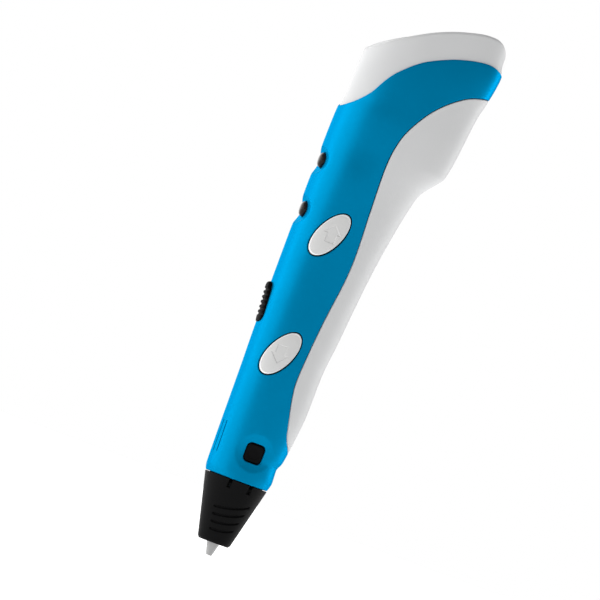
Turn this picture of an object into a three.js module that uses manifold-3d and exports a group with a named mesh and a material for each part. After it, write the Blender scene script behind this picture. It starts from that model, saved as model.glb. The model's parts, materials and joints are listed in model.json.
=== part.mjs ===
// Hand-held 3-D printing pen: a blue casing in two halves with a white back cover and end cap,
// a snap-in black nozzle unit, two side buttons, a front speed slider and, inside, the filament
// feeder with its gearmotor, the circuit board and the hot end.
//
// Millimetres. +Z runs up the pen from the nozzle tip at the origin, -X is the front (slider and
// lamps), +X the back with the head's hump, and -Y the side with the buttons.
import * as THREE from 'three';
import { mergeVertices } from 'three/addons/utils/BufferGeometryUtils.js';
import Module from 'manifold-3d';

const wasm = await Module();
wasm.setup();

// ---------- driving dimensions ----------
const GAP = 0.3;                 // space left between neighbouring pieces
const WALL = 1.8;                // casing wall
const CASE_BOTTOM = 25;          // lower rim of the casing
const LOFT_TOP = 190;            // the casing's loft runs past the top and is trimmed by TOP_LINE
const CAP_INSET = 0.4;           // the white end cap is this much slimmer than the blue casing

// Side view of the casing: front and back edge, half width and widest line, all against height.
const FRONT_EDGE = [[25, -10.3], [27.5, -10.85], [60, -11.2], [74, -11.45], [106, -11.45],
  [134, -11.25], [143, -11.05], [147.5, -10.8], [151.5, -10.25], [158, -10.05], [166, -9.7],
  [190, -8.8]];
const BACK_EDGE = [[25, 10.2], [28, 11], [32.5, 10.8], [34.6, 11.8], [38, 12.4], [44, 13.15],
  [52, 13.9], [64, 14], [76, 15.2], [100, 17.6], [116, 20.05], [124, 21.6], [129, 22.8],
  [135.3, 27.3], [137, 28.6], [160, 31.9], [163, 32.7], [174.5, 34.5], [177, 33.95], [190, 33.7]];
const HALF_WIDTH = [[25, 10.2], [60, 11.2], [90, 11.8], [110, 12.6], [130, 14], [150, 15.3],
  [166, 15.5], [190, 14.6]];
const WIDEST_AT = [[25, 0], [60, 0.6], [100, 2], [125, 4], [137, 7.5], [160, 9], [190, 10]];
const FRONT_SQUARENESS = [[25, 2], [60, 2.2], [190, 2.3]];
const BACK_SQUARENESS = [[25, 2], [60, 2.2], [120, 2.3], [140, 3.2], [190, 3.4]];
const STATIONS = [27, 32.5, 34.6, 39, 46, 54, 66, 80, 95, 110, 120, 127, 131, 133.6, 135.6, 138, 146,
  150, 158, 163, 174.5, 177, LOFT_TOP];
const AROUND = 24;

// Seams and the top, as lines in the side view (x, z).
const LOWER_SEAM = [[14, 36.9], [9.6, 42], [7.6, 47.9], [5.7, 55.8], [5.2, 62.7], [6.5, 79.6],
  [8.5, 95.5], [8.8, 105.5], [8, 119.3], [7.4, 133.1], [8.2, 141], [10.4, 147.4], [15.3, 155],
  [21.4, 160.7], [27.7, 164.1], [38.3, 166.4]];
const UPPER_SEAM = [[-13, 145.4], [-10.2, 148.3], [-7.8, 150.6], [-4.9, 154.2], [-2.3, 159.1],
  [0.6, 163], [6.1, 167.9], [12.3, 171.3], [18.4, 173.7], [25.9, 175.4], [31, 175.2], [38.3, 172.6]];
const TOP_LINE = [[-7.4, 169], [-4.1, 171.7], [-0.4, 174.2], [5.5, 177.7], [11.5, 180.5],
  [17.7, 182.6], [23, 183.9], [27, 184.2]];

// Buttons: tilted ovals on the -Y side, [x, z] of each centre.
const BUTTON = { long: 8.4, short: 4.15, tilt: 25.4 * Math.PI / 180, travel: 0.5 };
const RETRACT_AT = [-1.4, 107.4];
const FEED_AT = [-2.75, 67.2];
const BUTTON_PROUD = 0.4;

// Lamps on the front, each in a shallow scoop.
const LED_HEIGHTS = { led_upper: 129.7, led_lower: 113.2 };
const LED_RADIUS = 2.6;
const LED_ROOT = -6.8;
const SCOOP = { depth: 1.7, halfWidth: 5.2, halfHeight: 4.5, drop: 0.95 };

// Slider: wider at its low end and thicker at its high end; lowFace and highFace are x.
const SLIDER = {
  low: 74.9, high: 88.3, lowHalf: 3.9, highHalf: 2.3, lowFace: -12.2, highFace: -12.8, travel: 4,
};
const SLIDER_MID = (SLIDER.low + SLIDER.high) / 2;
const SLIDER_SLOT = { halfWidth: 1.1, halfHeight: SLIDER.travel + 2.4 };

const WINDOW = { x: 0.6, z: 34.9, halfX: 3.25, halfZ: 3.15, corner: 1.7 };
const VENT = { middles: [2.2, 4.3], half: 0.3, low: 31.5, high: 42 };
const LATCH = { x: 0.3, halfX: 2.6, padHalfZ: 2.6, outer: 8, inner: 6.7, root: 22.5, top: 38.4, padFace: 9 };

const BOARD = { front: -4.2, back: -3, x: [-8.4, 6], z: [53, 130] };
const WHEEL = { z: 152, radius: 3.4, filament: 0.9 };   // drive wheel beside the filament
const WHEEL_Y = WHEEL.radius + WHEEL.filament;
const IDLER = { radius: 3, y: -3 - WHEEL.filament };
const GEARBOX = { front: 4, rear: 13, plate: 0.9, halfY: 5, halfZ: 6 };
const TOOTH = { module: 0.22, small: 9, large: 21 };
const JACK = { x: 20, face: 181.6, foot: 168, radius: 3.9, mouth: 2.9 };

// ---------- colours ----------
const paint = (color, roughness, metalness = 0) =>
  new THREE.MeshStandardMaterial({ color, roughness, metalness });
const LOOK = {
  blue: paint(0x0a8fd0, 0.5),
  white: paint(0xe6e7e8, 0.35),
  black: paint(0x1b1b1c, 0.6),
  lamp: paint(0x3a3230, 0.2),
  ceramic: paint(0xc9c9c6, 0.5),
  steel: paint(0x9a9ca0, 0.3, 1),
  brass: paint(0xb89a4c, 0.35, 1),
  board: paint(0x1f5a37, 0.5),
  nylon: paint(0xd9d4c4, 0.6),
  fibre: paint(0xe8e2d2, 0.9),
  red: paint(0xb02020, 0.5),
};

// ---------- solids ----------
function solid(geometry) {
  const bare = geometry.clone();
  bare.deleteAttribute('normal');
  bare.deleteAttribute('uv');
  const merged = mergeVertices(bare, 1e-5);
  return new wasm.Manifold(new wasm.Mesh({
    numProp: 3,
    vertProperties: new Float32Array(merged.attributes.position.array),
    triVerts: new Uint32Array(merged.index.array),
  }));
}

function geometryOf(manifold) {
  const mesh = manifold.getMesh();
  const geometry = new THREE.BufferGeometry();
  geometry.setAttribute('position', new THREE.BufferAttribute(mesh.vertProperties, 3));
  geometry.setIndex(new THREE.BufferAttribute(mesh.triVerts, 1));
  geometry.computeVertexNormals();
  return geometry;
}

const box = (x0, x1, y0, y1, z0, z1) => solid(
  new THREE.BoxGeometry(x1 - x0, y1 - y0, z1 - z0)
    .translate((x0 + x1) / 2, (y0 + y1) / 2, (z0 + z1) / 2));

// Solid of revolution about Z through (x, y); the profile is closed points [radius, z].
const turned = (profile, x = 0, y = 0, sides = 20) => solid(
  new THREE.LatheGeometry([...profile, profile[0]].map(([r, z]) => new THREE.Vector2(r, z)), sides)
    .rotateX(Math.PI / 2).translate(x, y, 0));

const ring = (inner, outer, z0, z1, x = 0, y = 0, sides = 20) =>
  turned([[inner, z0], [outer, z0], [outer, z1], [inner, z1]], x, y, sides);

const rod = (radius, z0, z1, x = 0, y = 0, sides = 16) => solid(
  new THREE.CylinderGeometry(radius, radius, z1 - z0, sides)
    .rotateX(Math.PI / 2).translate(x, y, (z0 + z1) / 2));

const rodX = (radius, x0, x1, y, z, sides = 16) => solid(
  new THREE.CylinderGeometry(radius, radius, x1 - x0, sides)
    .rotateZ(Math.PI / 2).translate((x0 + x1) / 2, y, z));

const rodY = (radius, y0, y1, x, z, sides = 16) => solid(
  new THREE.CylinderGeometry(radius, radius, y1 - y0, sides).translate(x, (y0 + y1) / 2, z));

// A side-view outline (x, z) run across the pen from y0 to y1.
const across = (shape, y0, y1, curveSegments = 8) => solid(
  new THREE.ExtrudeGeometry(shape, { depth: y1 - y0, bevelEnabled: false, curveSegments })
    .rotateX(Math.PI / 2).translate(0, y1, 0));

// An outline (y, z) run along the pen's x from x0 to x1.
const alongX = (shape, x0, x1) => solid(
  new THREE.ExtrudeGeometry(shape, { depth: x1 - x0, bevelEnabled: false, curveSegments: 8 })
    .rotateX(Math.PI / 2).rotateZ(Math.PI / 2).translate(x0, 0, 0));

const wire = (radius, points) => solid(new THREE.ExtrudeGeometry(
  new THREE.Shape(new THREE.EllipseCurve(0, 0, radius, radius).getPoints(6).slice(0, 6)),
  {
    steps: 10,
    bevelEnabled: false,
    extrudePath: new THREE.CatmullRomCurve3(points.map((p) => new THREE.Vector3(...p))),
  }));

// Smooth curve through [position, value] knots that never overshoots between them.
function profile(knots) {
  const slope = knots.map((_, i) => {
    if (i === 0 || i === knots.length - 1) {
      return 0;
    }
    const before = (knots[i][1] - knots[i - 1][1]) / (knots[i][0] - knots[i - 1][0]);
    const after = (knots[i + 1][1] - knots[i][1]) / (knots[i + 1][0] - knots[i][0]);
    return before * after > 0 ? 2 * before * after / (before + after) : 0;
  });
  const last = knots.length - 1;
  slope[0] = (knots[1][1] - knots[0][1]) / (knots[1][0] - knots[0][0]);
  slope[last] = (knots[last][1] - knots[last - 1][1]) / (knots[last][0] - knots[last - 1][0]);
  return (at) => {
    let i = knots.findIndex(([position]) => position > at) - 1;
    if (i < 0) {
      i = at < knots[0][0] ? 0 : last - 1;
    }
    const width = knots[i + 1][0] - knots[i][0];
    const t = (at - knots[i][0]) / width;
    const low = knots[i][1];
    const rise = knots[i + 1][1] - low;
    return low + t * t * (3 - 2 * t) * rise
      + width * t * (1 - t) * ((1 - t) * slope[i] - t * slope[i + 1]);
  };
}

const frontEdge = profile(FRONT_EDGE);
const backEdge = profile(BACK_EDGE);
const halfWidth = profile(HALF_WIDTH);
const widestAt = profile(WIDEST_AT);
const frontSquareness = profile(FRONT_SQUARENESS);
const backSquareness = profile(BACK_SQUARENESS);

// Point of the casing's section at height z, grown by `grow`, at `turn` round from the back.
function sectionPoint(z, turn, grow) {
  const c = Math.cos(turn);
  const s = Math.sin(turn);
  const centre = widestAt(z);
  const power = 2 / (c < 0 ? frontSquareness(z) : backSquareness(z));
  const reach = (c < 0 ? centre - frontEdge(z) : backEdge(z) - centre) + grow;
  return [
    centre + Math.sign(c) * reach * Math.abs(c) ** power,
    Math.sign(s) * (halfWidth(z) + grow) * Math.abs(s) ** power,
    z,
  ];
}

// The casing's outside as one closed solid, grown or shrunk, from `bottom` to the loft's top.
function loft(grow, bottom = CASE_BOTTOM) {
  const heights = [bottom, ...STATIONS.filter((z) => z > bottom + 0.5)];
  const corners = [];
  const faces = [];
  for (const z of heights) {
    for (let k = 0; k < AROUND; k += 1) {
      corners.push(...sectionPoint(z, 2 * Math.PI * k / AROUND, grow));
    }
  }
  for (let row = 0; row < heights.length - 1; row += 1) {
    for (let k = 0; k < AROUND; k += 1) {
      const next = (k + 1) % AROUND;
      const a = row * AROUND + k;
      const b = row * AROUND + next;
      faces.push(a, b, b + AROUND, a, b + AROUND, a + AROUND);
    }
  }
  const topRow = (heights.length - 1) * AROUND;
  for (let k = 1; k < AROUND - 1; k += 1) {
    faces.push(0, k + 1, k, topRow, topRow + k, topRow + k + 1);
  }
  const geometry = new THREE.BufferGeometry();
  geometry.setAttribute('position', new THREE.Float32BufferAttribute(corners, 3));
  geometry.setIndex(faces);
  return solid(geometry);
}

const WIDE = 40;

// A line through knots, sampled and moved sideways by `shift` (positive to its left).
function seamLine(knots, shift) {
  const curve = new THREE.SplineCurve(knots.map(([x, z]) => new THREE.Vector2(x, z)));
  const count = Math.round(knots.length * 1.3);
  return Array.from({ length: count + 1 }, (_, i) => {
    const point = curve.getPoint(i / count);
    const along = curve.getTangent(i / count);
    return new THREE.Vector2(point.x - along.y * shift, point.y + along.x * shift);
  });
}

function region(points) {
  return across(new THREE.Shape(points), -WIDE, WIDE);
}

// Everything behind the lower seam; `grow` moves the seam into the blue casing.
function behindSeam(grow) {
  const line = seamLine(LOWER_SEAM, grow);
  const first = line[0];
  const last = line[line.length - 1];
  return region([...line, new THREE.Vector2(WIDE + 20, last.y), new THREE.Vector2(WIDE + 20, first.y)]);
}

// Everything above the upper seam; `grow` moves the seam down into the blue casing.
function aboveSeam(grow) {
  const line = seamLine(UPPER_SEAM, -grow);
  const first = line[0];
  const last = line[line.length - 1];
  return region([
    ...line, new THREE.Vector2(WIDE + 20, last.y), new THREE.Vector2(WIDE + 20, LOFT_TOP + 20),
    new THREE.Vector2(-WIDE, LOFT_TOP + 20), new THREE.Vector2(-WIDE, first.y),
  ]);
}

// Everything under the end cap's top, lowered by `drop`, with its rounded back and front corners.
function underTop(drop) {
  const at = (x, z) => new THREE.Vector2(x, z - drop);
  const line = TOP_LINE.map(([x, z]) => at(x, z)).reverse();
  const front = line[line.length - 1];
  const backCorner = new THREE.CubicBezierCurve(at(34, 176.5), at(33.4, 180.8), at(31, 183.9), line[0]);
  const frontCorner = new THREE.QuadraticBezierCurve(
    front, new THREE.Vector2(-9.6, front.y - 1.8), new THREE.Vector2(-10.6, front.y - 4.5));
  return region([
    new THREE.Vector2(-WIDE, 0), new THREE.Vector2(WIDE + 20, 0), at(WIDE + 20, 160),
    ...backCorner.getPoints(6), ...new THREE.SplineCurve(line).getPoints(12).slice(1, -1),
    ...frontCorner.getPoints(3), at(-WIDE, 150),
  ]);
}

// ---------- the model ----------
const pen = new THREE.Group();

function add(name, piece, look) {
  const mesh = new THREE.Mesh(geometryOf(piece), look.clone());
  mesh.name = name;
  pen.add(mesh);
}

// ---------- casing ----------
const cavity = loft(-WALL, CASE_BOTTOM - 1).intersect(underTop(WALL));
const outside = loft(0);

const oval = (at, grow) => {
  const shape = new THREE.Shape();
  shape.absellipse(at[0], at[1], BUTTON.short + grow, BUTTON.long + grow, 0, 2 * Math.PI, false,
    -BUTTON.tilt);
  return shape;
};

function roundedSquare(centreX, centreZ, halfX, halfZ, corner) {
  const shape = new THREE.Shape();
  shape.moveTo(centreX + halfX, centreZ - halfZ + corner);
  for (const [sx, sz, start] of [[1, 1, 0], [-1, 1, 1], [-1, -1, 2], [1, -1, 3]]) {
    shape.absarc(centreX + sx * (halfX - corner), centreZ + sz * (halfZ - corner), corner,
      start * Math.PI / 2, (start + 1) * Math.PI / 2);
  }
  return shape;
}

// Screw places [x, z]; the screws enter from +Y and bite into posts of the -Y half.
const SCREWS = [[-5.7, 49], [-5.6, 136.5], [28, 169]];
const POST = { radius: 2.6, headRadius: 1.9, headLow: 5.6, headHigh: 7, shank: 0.85, tip: -6.5 };
const CROSS = { halfLength: 1.3, halfWidth: 0.3, depth: 0.7 };   // the screws' driver recess

// LED bosses and holes, on the seam between the halves.
let lampBosses = null;
let lampCuts = null;
for (const z of Object.values(LED_HEIGHTS)) {
  const boss = rodX(LED_RADIUS + 1.6, frontEdge(z) - 1, -8.6, 0, z, 12);
  const hole = rodX(LED_RADIUS + GAP, -20, -5, 0, z, 12);
  const scoop = solid(new THREE.SphereGeometry(1, 12, 6)
    .scale(SCOOP.depth, SCOOP.halfWidth, SCOOP.halfHeight).translate(frontEdge(z), 0, z - SCOOP.drop));
  lampBosses = lampBosses ? lampBosses.add(boss) : boss;
  lampCuts = lampCuts ? lampCuts.add(hole).add(scoop) : hole.add(scoop);
}

function casingHalf(side) {
  const half = side < 0 ? box(-WIDE, WIDE + 20, -WIDE, -GAP / 2, 0, 200)
    : box(-WIDE, WIDE + 20, GAP / 2, WIDE, 0, 200);
  let shell = outside.subtract(cavity).add(lampBosses.intersect(outside));
  for (const [x, z] of SCREWS) {
    shell = shell.add(rodY(POST.radius, -WIDE, WIDE, x, z, 12).intersect(outside));
  }
  shell = shell.subtract(lampCuts);
  for (const [x, z] of SCREWS) {
    shell = shell.subtract(rodY(POST.shank + GAP, POST.tip - 0.5, WIDE, x, z, 10));
    shell = shell.subtract(rodY(POST.headRadius + GAP, POST.headLow - GAP, WIDE, x, z, 14));
  }
  shell = shell.intersect(half).subtract(behindSeam(GAP / 2)).subtract(aboveSeam(GAP / 2));
  // Latch window, the lead-in under it for the latch pad, the vent slits, the slider's slot.
  const outward = (near, far) => (side < 0 ? [-far, -near] : [near, far]);
  const window = roundedSquare(WINDOW.x, WINDOW.z, WINDOW.halfX, WINDOW.halfZ, WINDOW.corner);
  shell = shell.subtract(across(window, ...outward(5, 20), 2));
  const pad = LATCH.padFace + GAP;
  shell = shell.subtract(box(LATCH.x - LATCH.halfX - GAP, LATCH.x + LATCH.halfX + GAP,
    ...outward(5, pad), 20, WINDOW.z));
  for (const middle of VENT.middles) {
    shell = shell.subtract(box(-20, -6, ...outward(middle - VENT.half, middle + VENT.half),
      VENT.low, VENT.high));
  }
  shell = shell.subtract(box(-20, -6, -SLIDER_SLOT.halfWidth, SLIDER_SLOT.halfWidth,
    SLIDER_MID - SLIDER_SLOT.halfHeight, SLIDER_MID + SLIDER_SLOT.halfHeight));
  if (side < 0) {
    shell = shell.subtract(across(oval(RETRACT_AT, GAP), -30, -5));
    shell = shell.subtract(across(oval(FEED_AT, GAP), -30, -5));
  }
  return shell;
}

add('shell_right', casingHalf(-1), LOOK.blue);
add('shell_left', casingHalf(1), LOOK.blue);
add('back_cover', outside.subtract(cavity).intersect(behindSeam(-GAP / 2)), LOOK.white);

const INLET = { x: 0, radius: 2.6, face: 171.8, foot: 164.5, bore: 1.2 };
const cap = loft(-CAP_INSET).subtract(loft(-CAP_INSET - WALL)).add(
  loft(-CAP_INSET).intersect(underTop(0)).subtract(underTop(WALL)))
  .intersect(underTop(0)).intersect(aboveSeam(-GAP / 2))
  .subtract(rod(INLET.radius + GAP, 150, LOFT_TOP, INLET.x, 0))
  .subtract(rod(JACK.radius + GAP, 150, LOFT_TOP, JACK.x, 0));
add('end_cap', cap, LOOK.white);

SCREWS.forEach(([x, z], i) => {
  const slot = (halfX, halfZ) => box(x - halfX, x + halfX, POST.headHigh - CROSS.depth, 20,
    z - halfZ, z + halfZ);
  const head = rodY(POST.headRadius, POST.headLow, POST.headHigh, x, z)
    .subtract(slot(CROSS.halfLength, CROSS.halfWidth))
    .subtract(slot(CROSS.halfWidth, CROSS.halfLength));
  add(`case_screw_${i + 1}`, head.add(rodY(POST.shank, POST.tip, POST.headLow + 0.1, x, z, 12)),
    LOOK.steel);
});

// ---------- lamps, buttons, slider ----------
const DOME = 1.45;               // height of a lamp's dome
const LAMP_SUNK = 0.2;           // how far its top stays below the casing's front edge
for (const [name, z] of Object.entries(LED_HEIGHTS)) {
  const shoulder = frontEdge(z) + DOME + LAMP_SUNK;
  const dome = solid(new THREE.SphereGeometry(1, 14, 6).scale(DOME, LED_RADIUS, LED_RADIUS)
    .translate(shoulder, 0, z));
  const stem = rodX(LED_RADIUS, shoulder, LED_ROOT, 0, z, 14);
  add(name, dome.add(stem), LOOK.lamp);
}

const SWITCH = { half: 3, front: -7.7, pocket: -6.2, plunger: 1.7, plungerFace: -8.4 };

function button(at) {
  const core = across(oval(at, 0), -30, -4, 10).intersect(loft(BUTTON_PROUD));
  const lip = across(oval(at, 1), -30, -4, 10).intersect(loft(-WALL - GAP));
  const stem = rodY(1.5, -10.5, SWITCH.plungerFace - GAP, at[0], at[1], 12);
  const clearance = box(-WIDE, WIDE, SWITCH.front - GAP - BUTTON.travel - 0.1, 0, 0, 200);
  return core.add(lip).subtract(loft(-WALL - GAP - 1)).subtract(clearance).add(stem);
}

for (const [name, at] of [['retract', RETRACT_AT], ['feed', FEED_AT]]) {
  const [x, z] = at;
  add(`${name}_button`, button(at), LOOK.white);
  const pocket = rodY(SWITCH.plunger + GAP, SWITCH.pocket - 2, SWITCH.pocket, x, z, 16);
  const body = box(x - SWITCH.half, x + SWITCH.half, SWITCH.front, BOARD.front - GAP,
    z - SWITCH.half, z + SWITCH.half);
  add(`${name}_switch`, body.subtract(pocket), LOOK.black);
  const plungerFoot = SWITCH.pocket - GAP - BUTTON.travel;
  add(`${name}_plunger`, rodY(SWITCH.plunger, SWITCH.plungerFace, plungerFoot, x, z, 12), LOOK.black);
}

const KNOB_CORNER = 0.6;
const RIB = { count: 8, first: 76.4, pitch: 1.58, floor: -12 };
const knobSlope = (SLIDER.highFace - SLIDER.lowFace) / (SLIDER.high - SLIDER.low);
const knobFace = (z) => SLIDER.lowFace + knobSlope * (z - SLIDER.low);
const knobSide = new THREE.Shape();          // side view (x, z): sloped face with ribs
knobSide.moveTo(-9, SLIDER.low);
knobSide.lineTo(SLIDER.lowFace + KNOB_CORNER, SLIDER.low);
knobSide.quadraticCurveTo(SLIDER.lowFace, SLIDER.low, SLIDER.lowFace, SLIDER.low + KNOB_CORNER);
for (let i = 0; i < RIB.count - 1; i += 1) {
  const crest = RIB.first + i * RIB.pitch;
  knobSide.lineTo(knobFace(crest + 0.35), crest + 0.35);
  knobSide.lineTo(RIB.floor, crest + 0.6);
  knobSide.lineTo(RIB.floor, crest + RIB.pitch - 0.6);
  knobSide.lineTo(knobFace(crest + RIB.pitch - 0.35), crest + RIB.pitch - 0.35);
}
knobSide.lineTo(knobFace(SLIDER.high - KNOB_CORNER), SLIDER.high - KNOB_CORNER);
knobSide.quadraticCurveTo(SLIDER.highFace, SLIDER.high, SLIDER.highFace + KNOB_CORNER, SLIDER.high);
knobSide.lineTo(-9, SLIDER.high);
const knobPlan = new THREE.Shape();          // front view (y, z): wide below, narrow above
knobPlan.moveTo(0, SLIDER.low);
knobPlan.quadraticCurveTo(SLIDER.lowHalf, SLIDER.low, SLIDER.lowHalf, SLIDER.low + 2.6);
knobPlan.lineTo(SLIDER.highHalf, SLIDER.high - 2);
knobPlan.quadraticCurveTo(SLIDER.highHalf, SLIDER.high, 0, SLIDER.high);
knobPlan.quadraticCurveTo(-SLIDER.highHalf, SLIDER.high, -SLIDER.highHalf, SLIDER.high - 2);
knobPlan.lineTo(-SLIDER.lowHalf, SLIDER.low + 2.6);
knobPlan.quadraticCurveTo(-SLIDER.lowHalf, SLIDER.low, 0, SLIDER.low);
const knob = alongX(knobPlan, -16, -8).intersect(across(knobSide, -6, 6, 3))
  .intersect(loft(1.35)).subtract(loft(GAP));
const leverHalf = SLIDER_SLOT.halfWidth - GAP;
const lever = box(-11.9, -7.6, -leverHalf, leverHalf, SLIDER_MID - 2, SLIDER_MID + 2);
add('speed_slider', knob.add(lever), LOOK.black);

// ---------- circuit board ----------
const boardPlate = box(...BOARD.x, BOARD.front, BOARD.back, ...BOARD.z);
add('main_board', boardPlate, LOOK.board);
const potSlot = box(-12, -7.2, -SLIDER_SLOT.halfWidth, SLIDER_SLOT.halfWidth,
  SLIDER_MID - SLIDER_SLOT.halfHeight, SLIDER_MID + SLIDER_SLOT.halfHeight);
const potBody = box(-9, -5.4, -2.6, 2.4, SLIDER_MID - 11.5, SLIDER_MID + 11.5);
add('speed_pot', potBody.subtract(potSlot), LOOK.steel);
const onBoard = BOARD.front - GAP;
add('microcontroller', box(-5.5, 1.5, onBoard - 1.4, onBoard, 84, 91), LOOK.black);
add('motor_driver', box(-4, 1, onBoard - 1.5, onBoard, 119, 125), LOOK.black);
add('capacitor', rodY(2.4, onBoard - 4.2, onBoard, 0.5, 95, 20), LOOK.steel);

// ---------- filament path ----------
const FEEDER_HALF = 7.5;
const feederLow = WHEEL.z - FEEDER_HALF;
const feederHigh = WHEEL.z + FEEDER_HALF;
const TUBE = { bore: 1.1, radius: 2 };
const AXLE = 0.85;               // radius of the idler's axle
const SHAFT = 1.5;               // radius of the output shaft
const inletOuter = rod(INLET.radius, INLET.foot, INLET.face, INLET.x, 0);
add('filament_inlet', inletOuter.subtract(rod(INLET.bore, 160, 180, INLET.x, 0)), LOOK.black);
add('upper_guide_tube', ring(TUBE.bore, TUBE.radius, feederHigh + GAP, INLET.foot - GAP), LOOK.nylon);
const SOCKET = { low: 40.2, high: 46.4 };
add('lower_guide_tube', ring(TUBE.bore, TUBE.radius, SOCKET.high + GAP, feederLow - GAP), LOOK.nylon);

const feeder = box(-4.6, 3.6, -8.2, 8, feederLow, feederHigh)
  .subtract(box(-2.9, 2.9, -7.3, 20, WHEEL.z - 5, WHEEL.z + 5))
  .subtract(rod(1.3, 130, 170))
  .subtract(rodX(SHAFT + GAP, -10, 10, WHEEL_Y, WHEEL.z))
  .subtract(rodX(AXLE + GAP, -10, 10, IDLER.y, WHEEL.z));
add('feeder_block', feeder, LOOK.nylon);
add('idler_axle', rodX(AXLE, -4.6, 3.6, IDLER.y, WHEEL.z, 16), LOOK.steel);
add('idler_wheel', rodX(IDLER.radius, -2.4, 2.4, IDLER.y, WHEEL.z, 28)
  .subtract(rodX(0.95, -3, 3, IDLER.y, WHEEL.z, 16)), LOOK.steel);

// ---------- gears ----------
// Straight-sided teeth with room to spare; one tooth centre lies at angle `first`.
function gear(teeth, first) {
  const pitch = teeth * TOOTH.module / 2;
  const root = pitch - 1.3 * TOOTH.module;
  const tip = pitch + 0.8 * TOOTH.module;
  const step = 2 * Math.PI / teeth;
  const points = [];
  for (let i = 0; i < teeth; i += 1) {
    for (const [radius, offset] of [[root, -0.3], [tip, -0.11], [tip, 0.11], [root, 0.3]]) {
      const angle = first + step * (i + offset);
      points.push(new THREE.Vector2(radius * Math.cos(angle), radius * Math.sin(angle)));
    }
  }
  return points;
}

function gearAt(teeth, first, x0, x1, y, z) {
  const points = gear(teeth, first).map((p) => new THREE.Vector2(p.x + y, p.y + z));
  return alongX(new THREE.Shape(points), x0, x1);
}

const AXES_APART = (TOOTH.small + TOOTH.large) * TOOTH.module / 2;
const UP = Math.PI / 2;
const halfTooth = Math.PI / TOOTH.large;
const sideZ = WHEEL.z + AXES_APART;
// The pinion and the output gear share the wheel's axis; the double gear sits above them.
const pinion = gearAt(TOOTH.small, UP, 10.2, 11.7, WHEEL_Y, WHEEL.z)
  .add(rodX(0.45, 9.7, 13.6, WHEEL_Y, WHEEL.z, 12));
add('motor_pinion', pinion, LOOK.brass);
const doubleGear = gearAt(TOOTH.large, -UP + halfTooth, 10.3, 11.5, WHEEL_Y, sideZ)
  .add(gearAt(TOOTH.small, -UP, 6.4, 10.4, WHEEL_Y, sideZ))
  .add(rodX(0.45, GEARBOX.front + 0.2, GEARBOX.rear - 0.2, WHEEL_Y, sideZ, 12));
add('double_gear', doubleGear, LOOK.brass);
const outputGear = gearAt(TOOTH.large, UP + halfTooth, 6.6, 8.2, WHEEL_Y, WHEEL.z)
  .subtract(rodX(1.2, 0, 20, WHEEL_Y, WHEEL.z, 16));
add('output_gear', outputGear, LOOK.brass);
const outputShaft = rodX(SHAFT, -3.8, 6.2, WHEEL_Y, WHEEL.z, 16)
  .add(rodX(0.9, 6, 9, WHEEL_Y, WHEEL.z, 16));
add('output_shaft', outputShaft, LOOK.steel);

const GRIP_TEETH = 24;
const gripPoints = [];
for (let i = 0; i < GRIP_TEETH; i += 1) {
  for (const [radius, offset] of [[WHEEL.radius - 0.3, 0], [WHEEL.radius, 0.5]]) {
    const angle = 2 * Math.PI * (i + offset) / GRIP_TEETH;
    gripPoints.push(new THREE.Vector2(
      WHEEL_Y + radius * Math.cos(angle), WHEEL.z + radius * Math.sin(angle)));
  }
}
add('drive_wheel', alongX(new THREE.Shape(gripPoints), -2.3, 2.3)
  .subtract(rodX(SHAFT + GAP, -5, 5, WHEEL_Y, WHEEL.z, 16)), LOOK.brass);

// ---------- gearbox and motor ----------
function gearboxPlate(x0, shaftHole) {
  return box(x0, x0 + GEARBOX.plate, WHEEL_Y - GEARBOX.halfY, WHEEL_Y + GEARBOX.halfY,
    WHEEL.z - GEARBOX.halfZ, WHEEL.z + GEARBOX.halfZ)
    .subtract(rodX(shaftHole, 0, 20, WHEEL_Y, WHEEL.z, 16))
    .subtract(rodX(0.55, 0, 20, WHEEL_Y, sideZ, 12));
}
add('gearbox_front_plate', gearboxPlate(GEARBOX.front, 1.7), LOOK.brass);
add('gearbox_rear_plate', gearboxPlate(GEARBOX.rear - GEARBOX.plate, 0.7), LOOK.brass);
for (const [index, side] of [[1, -1], [2, 1]]) {
  add(`gearbox_post_${index}`, rodX(0.8, GEARBOX.front + GEARBOX.plate + GAP,
    GEARBOX.rear - GEARBOX.plate - GAP, WHEEL_Y + side * (GEARBOX.halfY - 1.1),
    WHEEL.z - GEARBOX.halfZ + 1.2, 12), LOOK.brass);
}
const MOTOR = { front: GEARBOX.rear + GAP, rear: 25.4, bell: 27 };
const can = rodX(6, MOTOR.front, MOTOR.rear, WHEEL_Y, WHEEL.z, 32)
  .intersect(box(0, 40, WHEEL_Y - GEARBOX.halfY, WHEEL_Y + GEARBOX.halfY, 100, 200))
  .subtract(rodX(0.9, 0, MOTOR.front + 2, WHEEL_Y, WHEEL.z, 12));
add('motor_can', can, LOOK.steel);
add('motor_end_bell', rodX(4.2, MOTOR.rear + GAP, MOTOR.bell, WHEEL_Y, WHEEL.z, 24), LOOK.white);

// ---------- power jack ----------
const jackBody = rod(JACK.radius, JACK.foot, JACK.face, JACK.x, 0, 28)
  .subtract(rod(JACK.mouth, JACK.foot + 3, LOFT_TOP, JACK.x, 0, 28));
add('power_jack', jackBody, LOOK.black);
add('power_jack_pin', rod(1, JACK.foot + 3 + GAP, JACK.face - 1.6, JACK.x, 0, 16), LOOK.brass);

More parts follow.
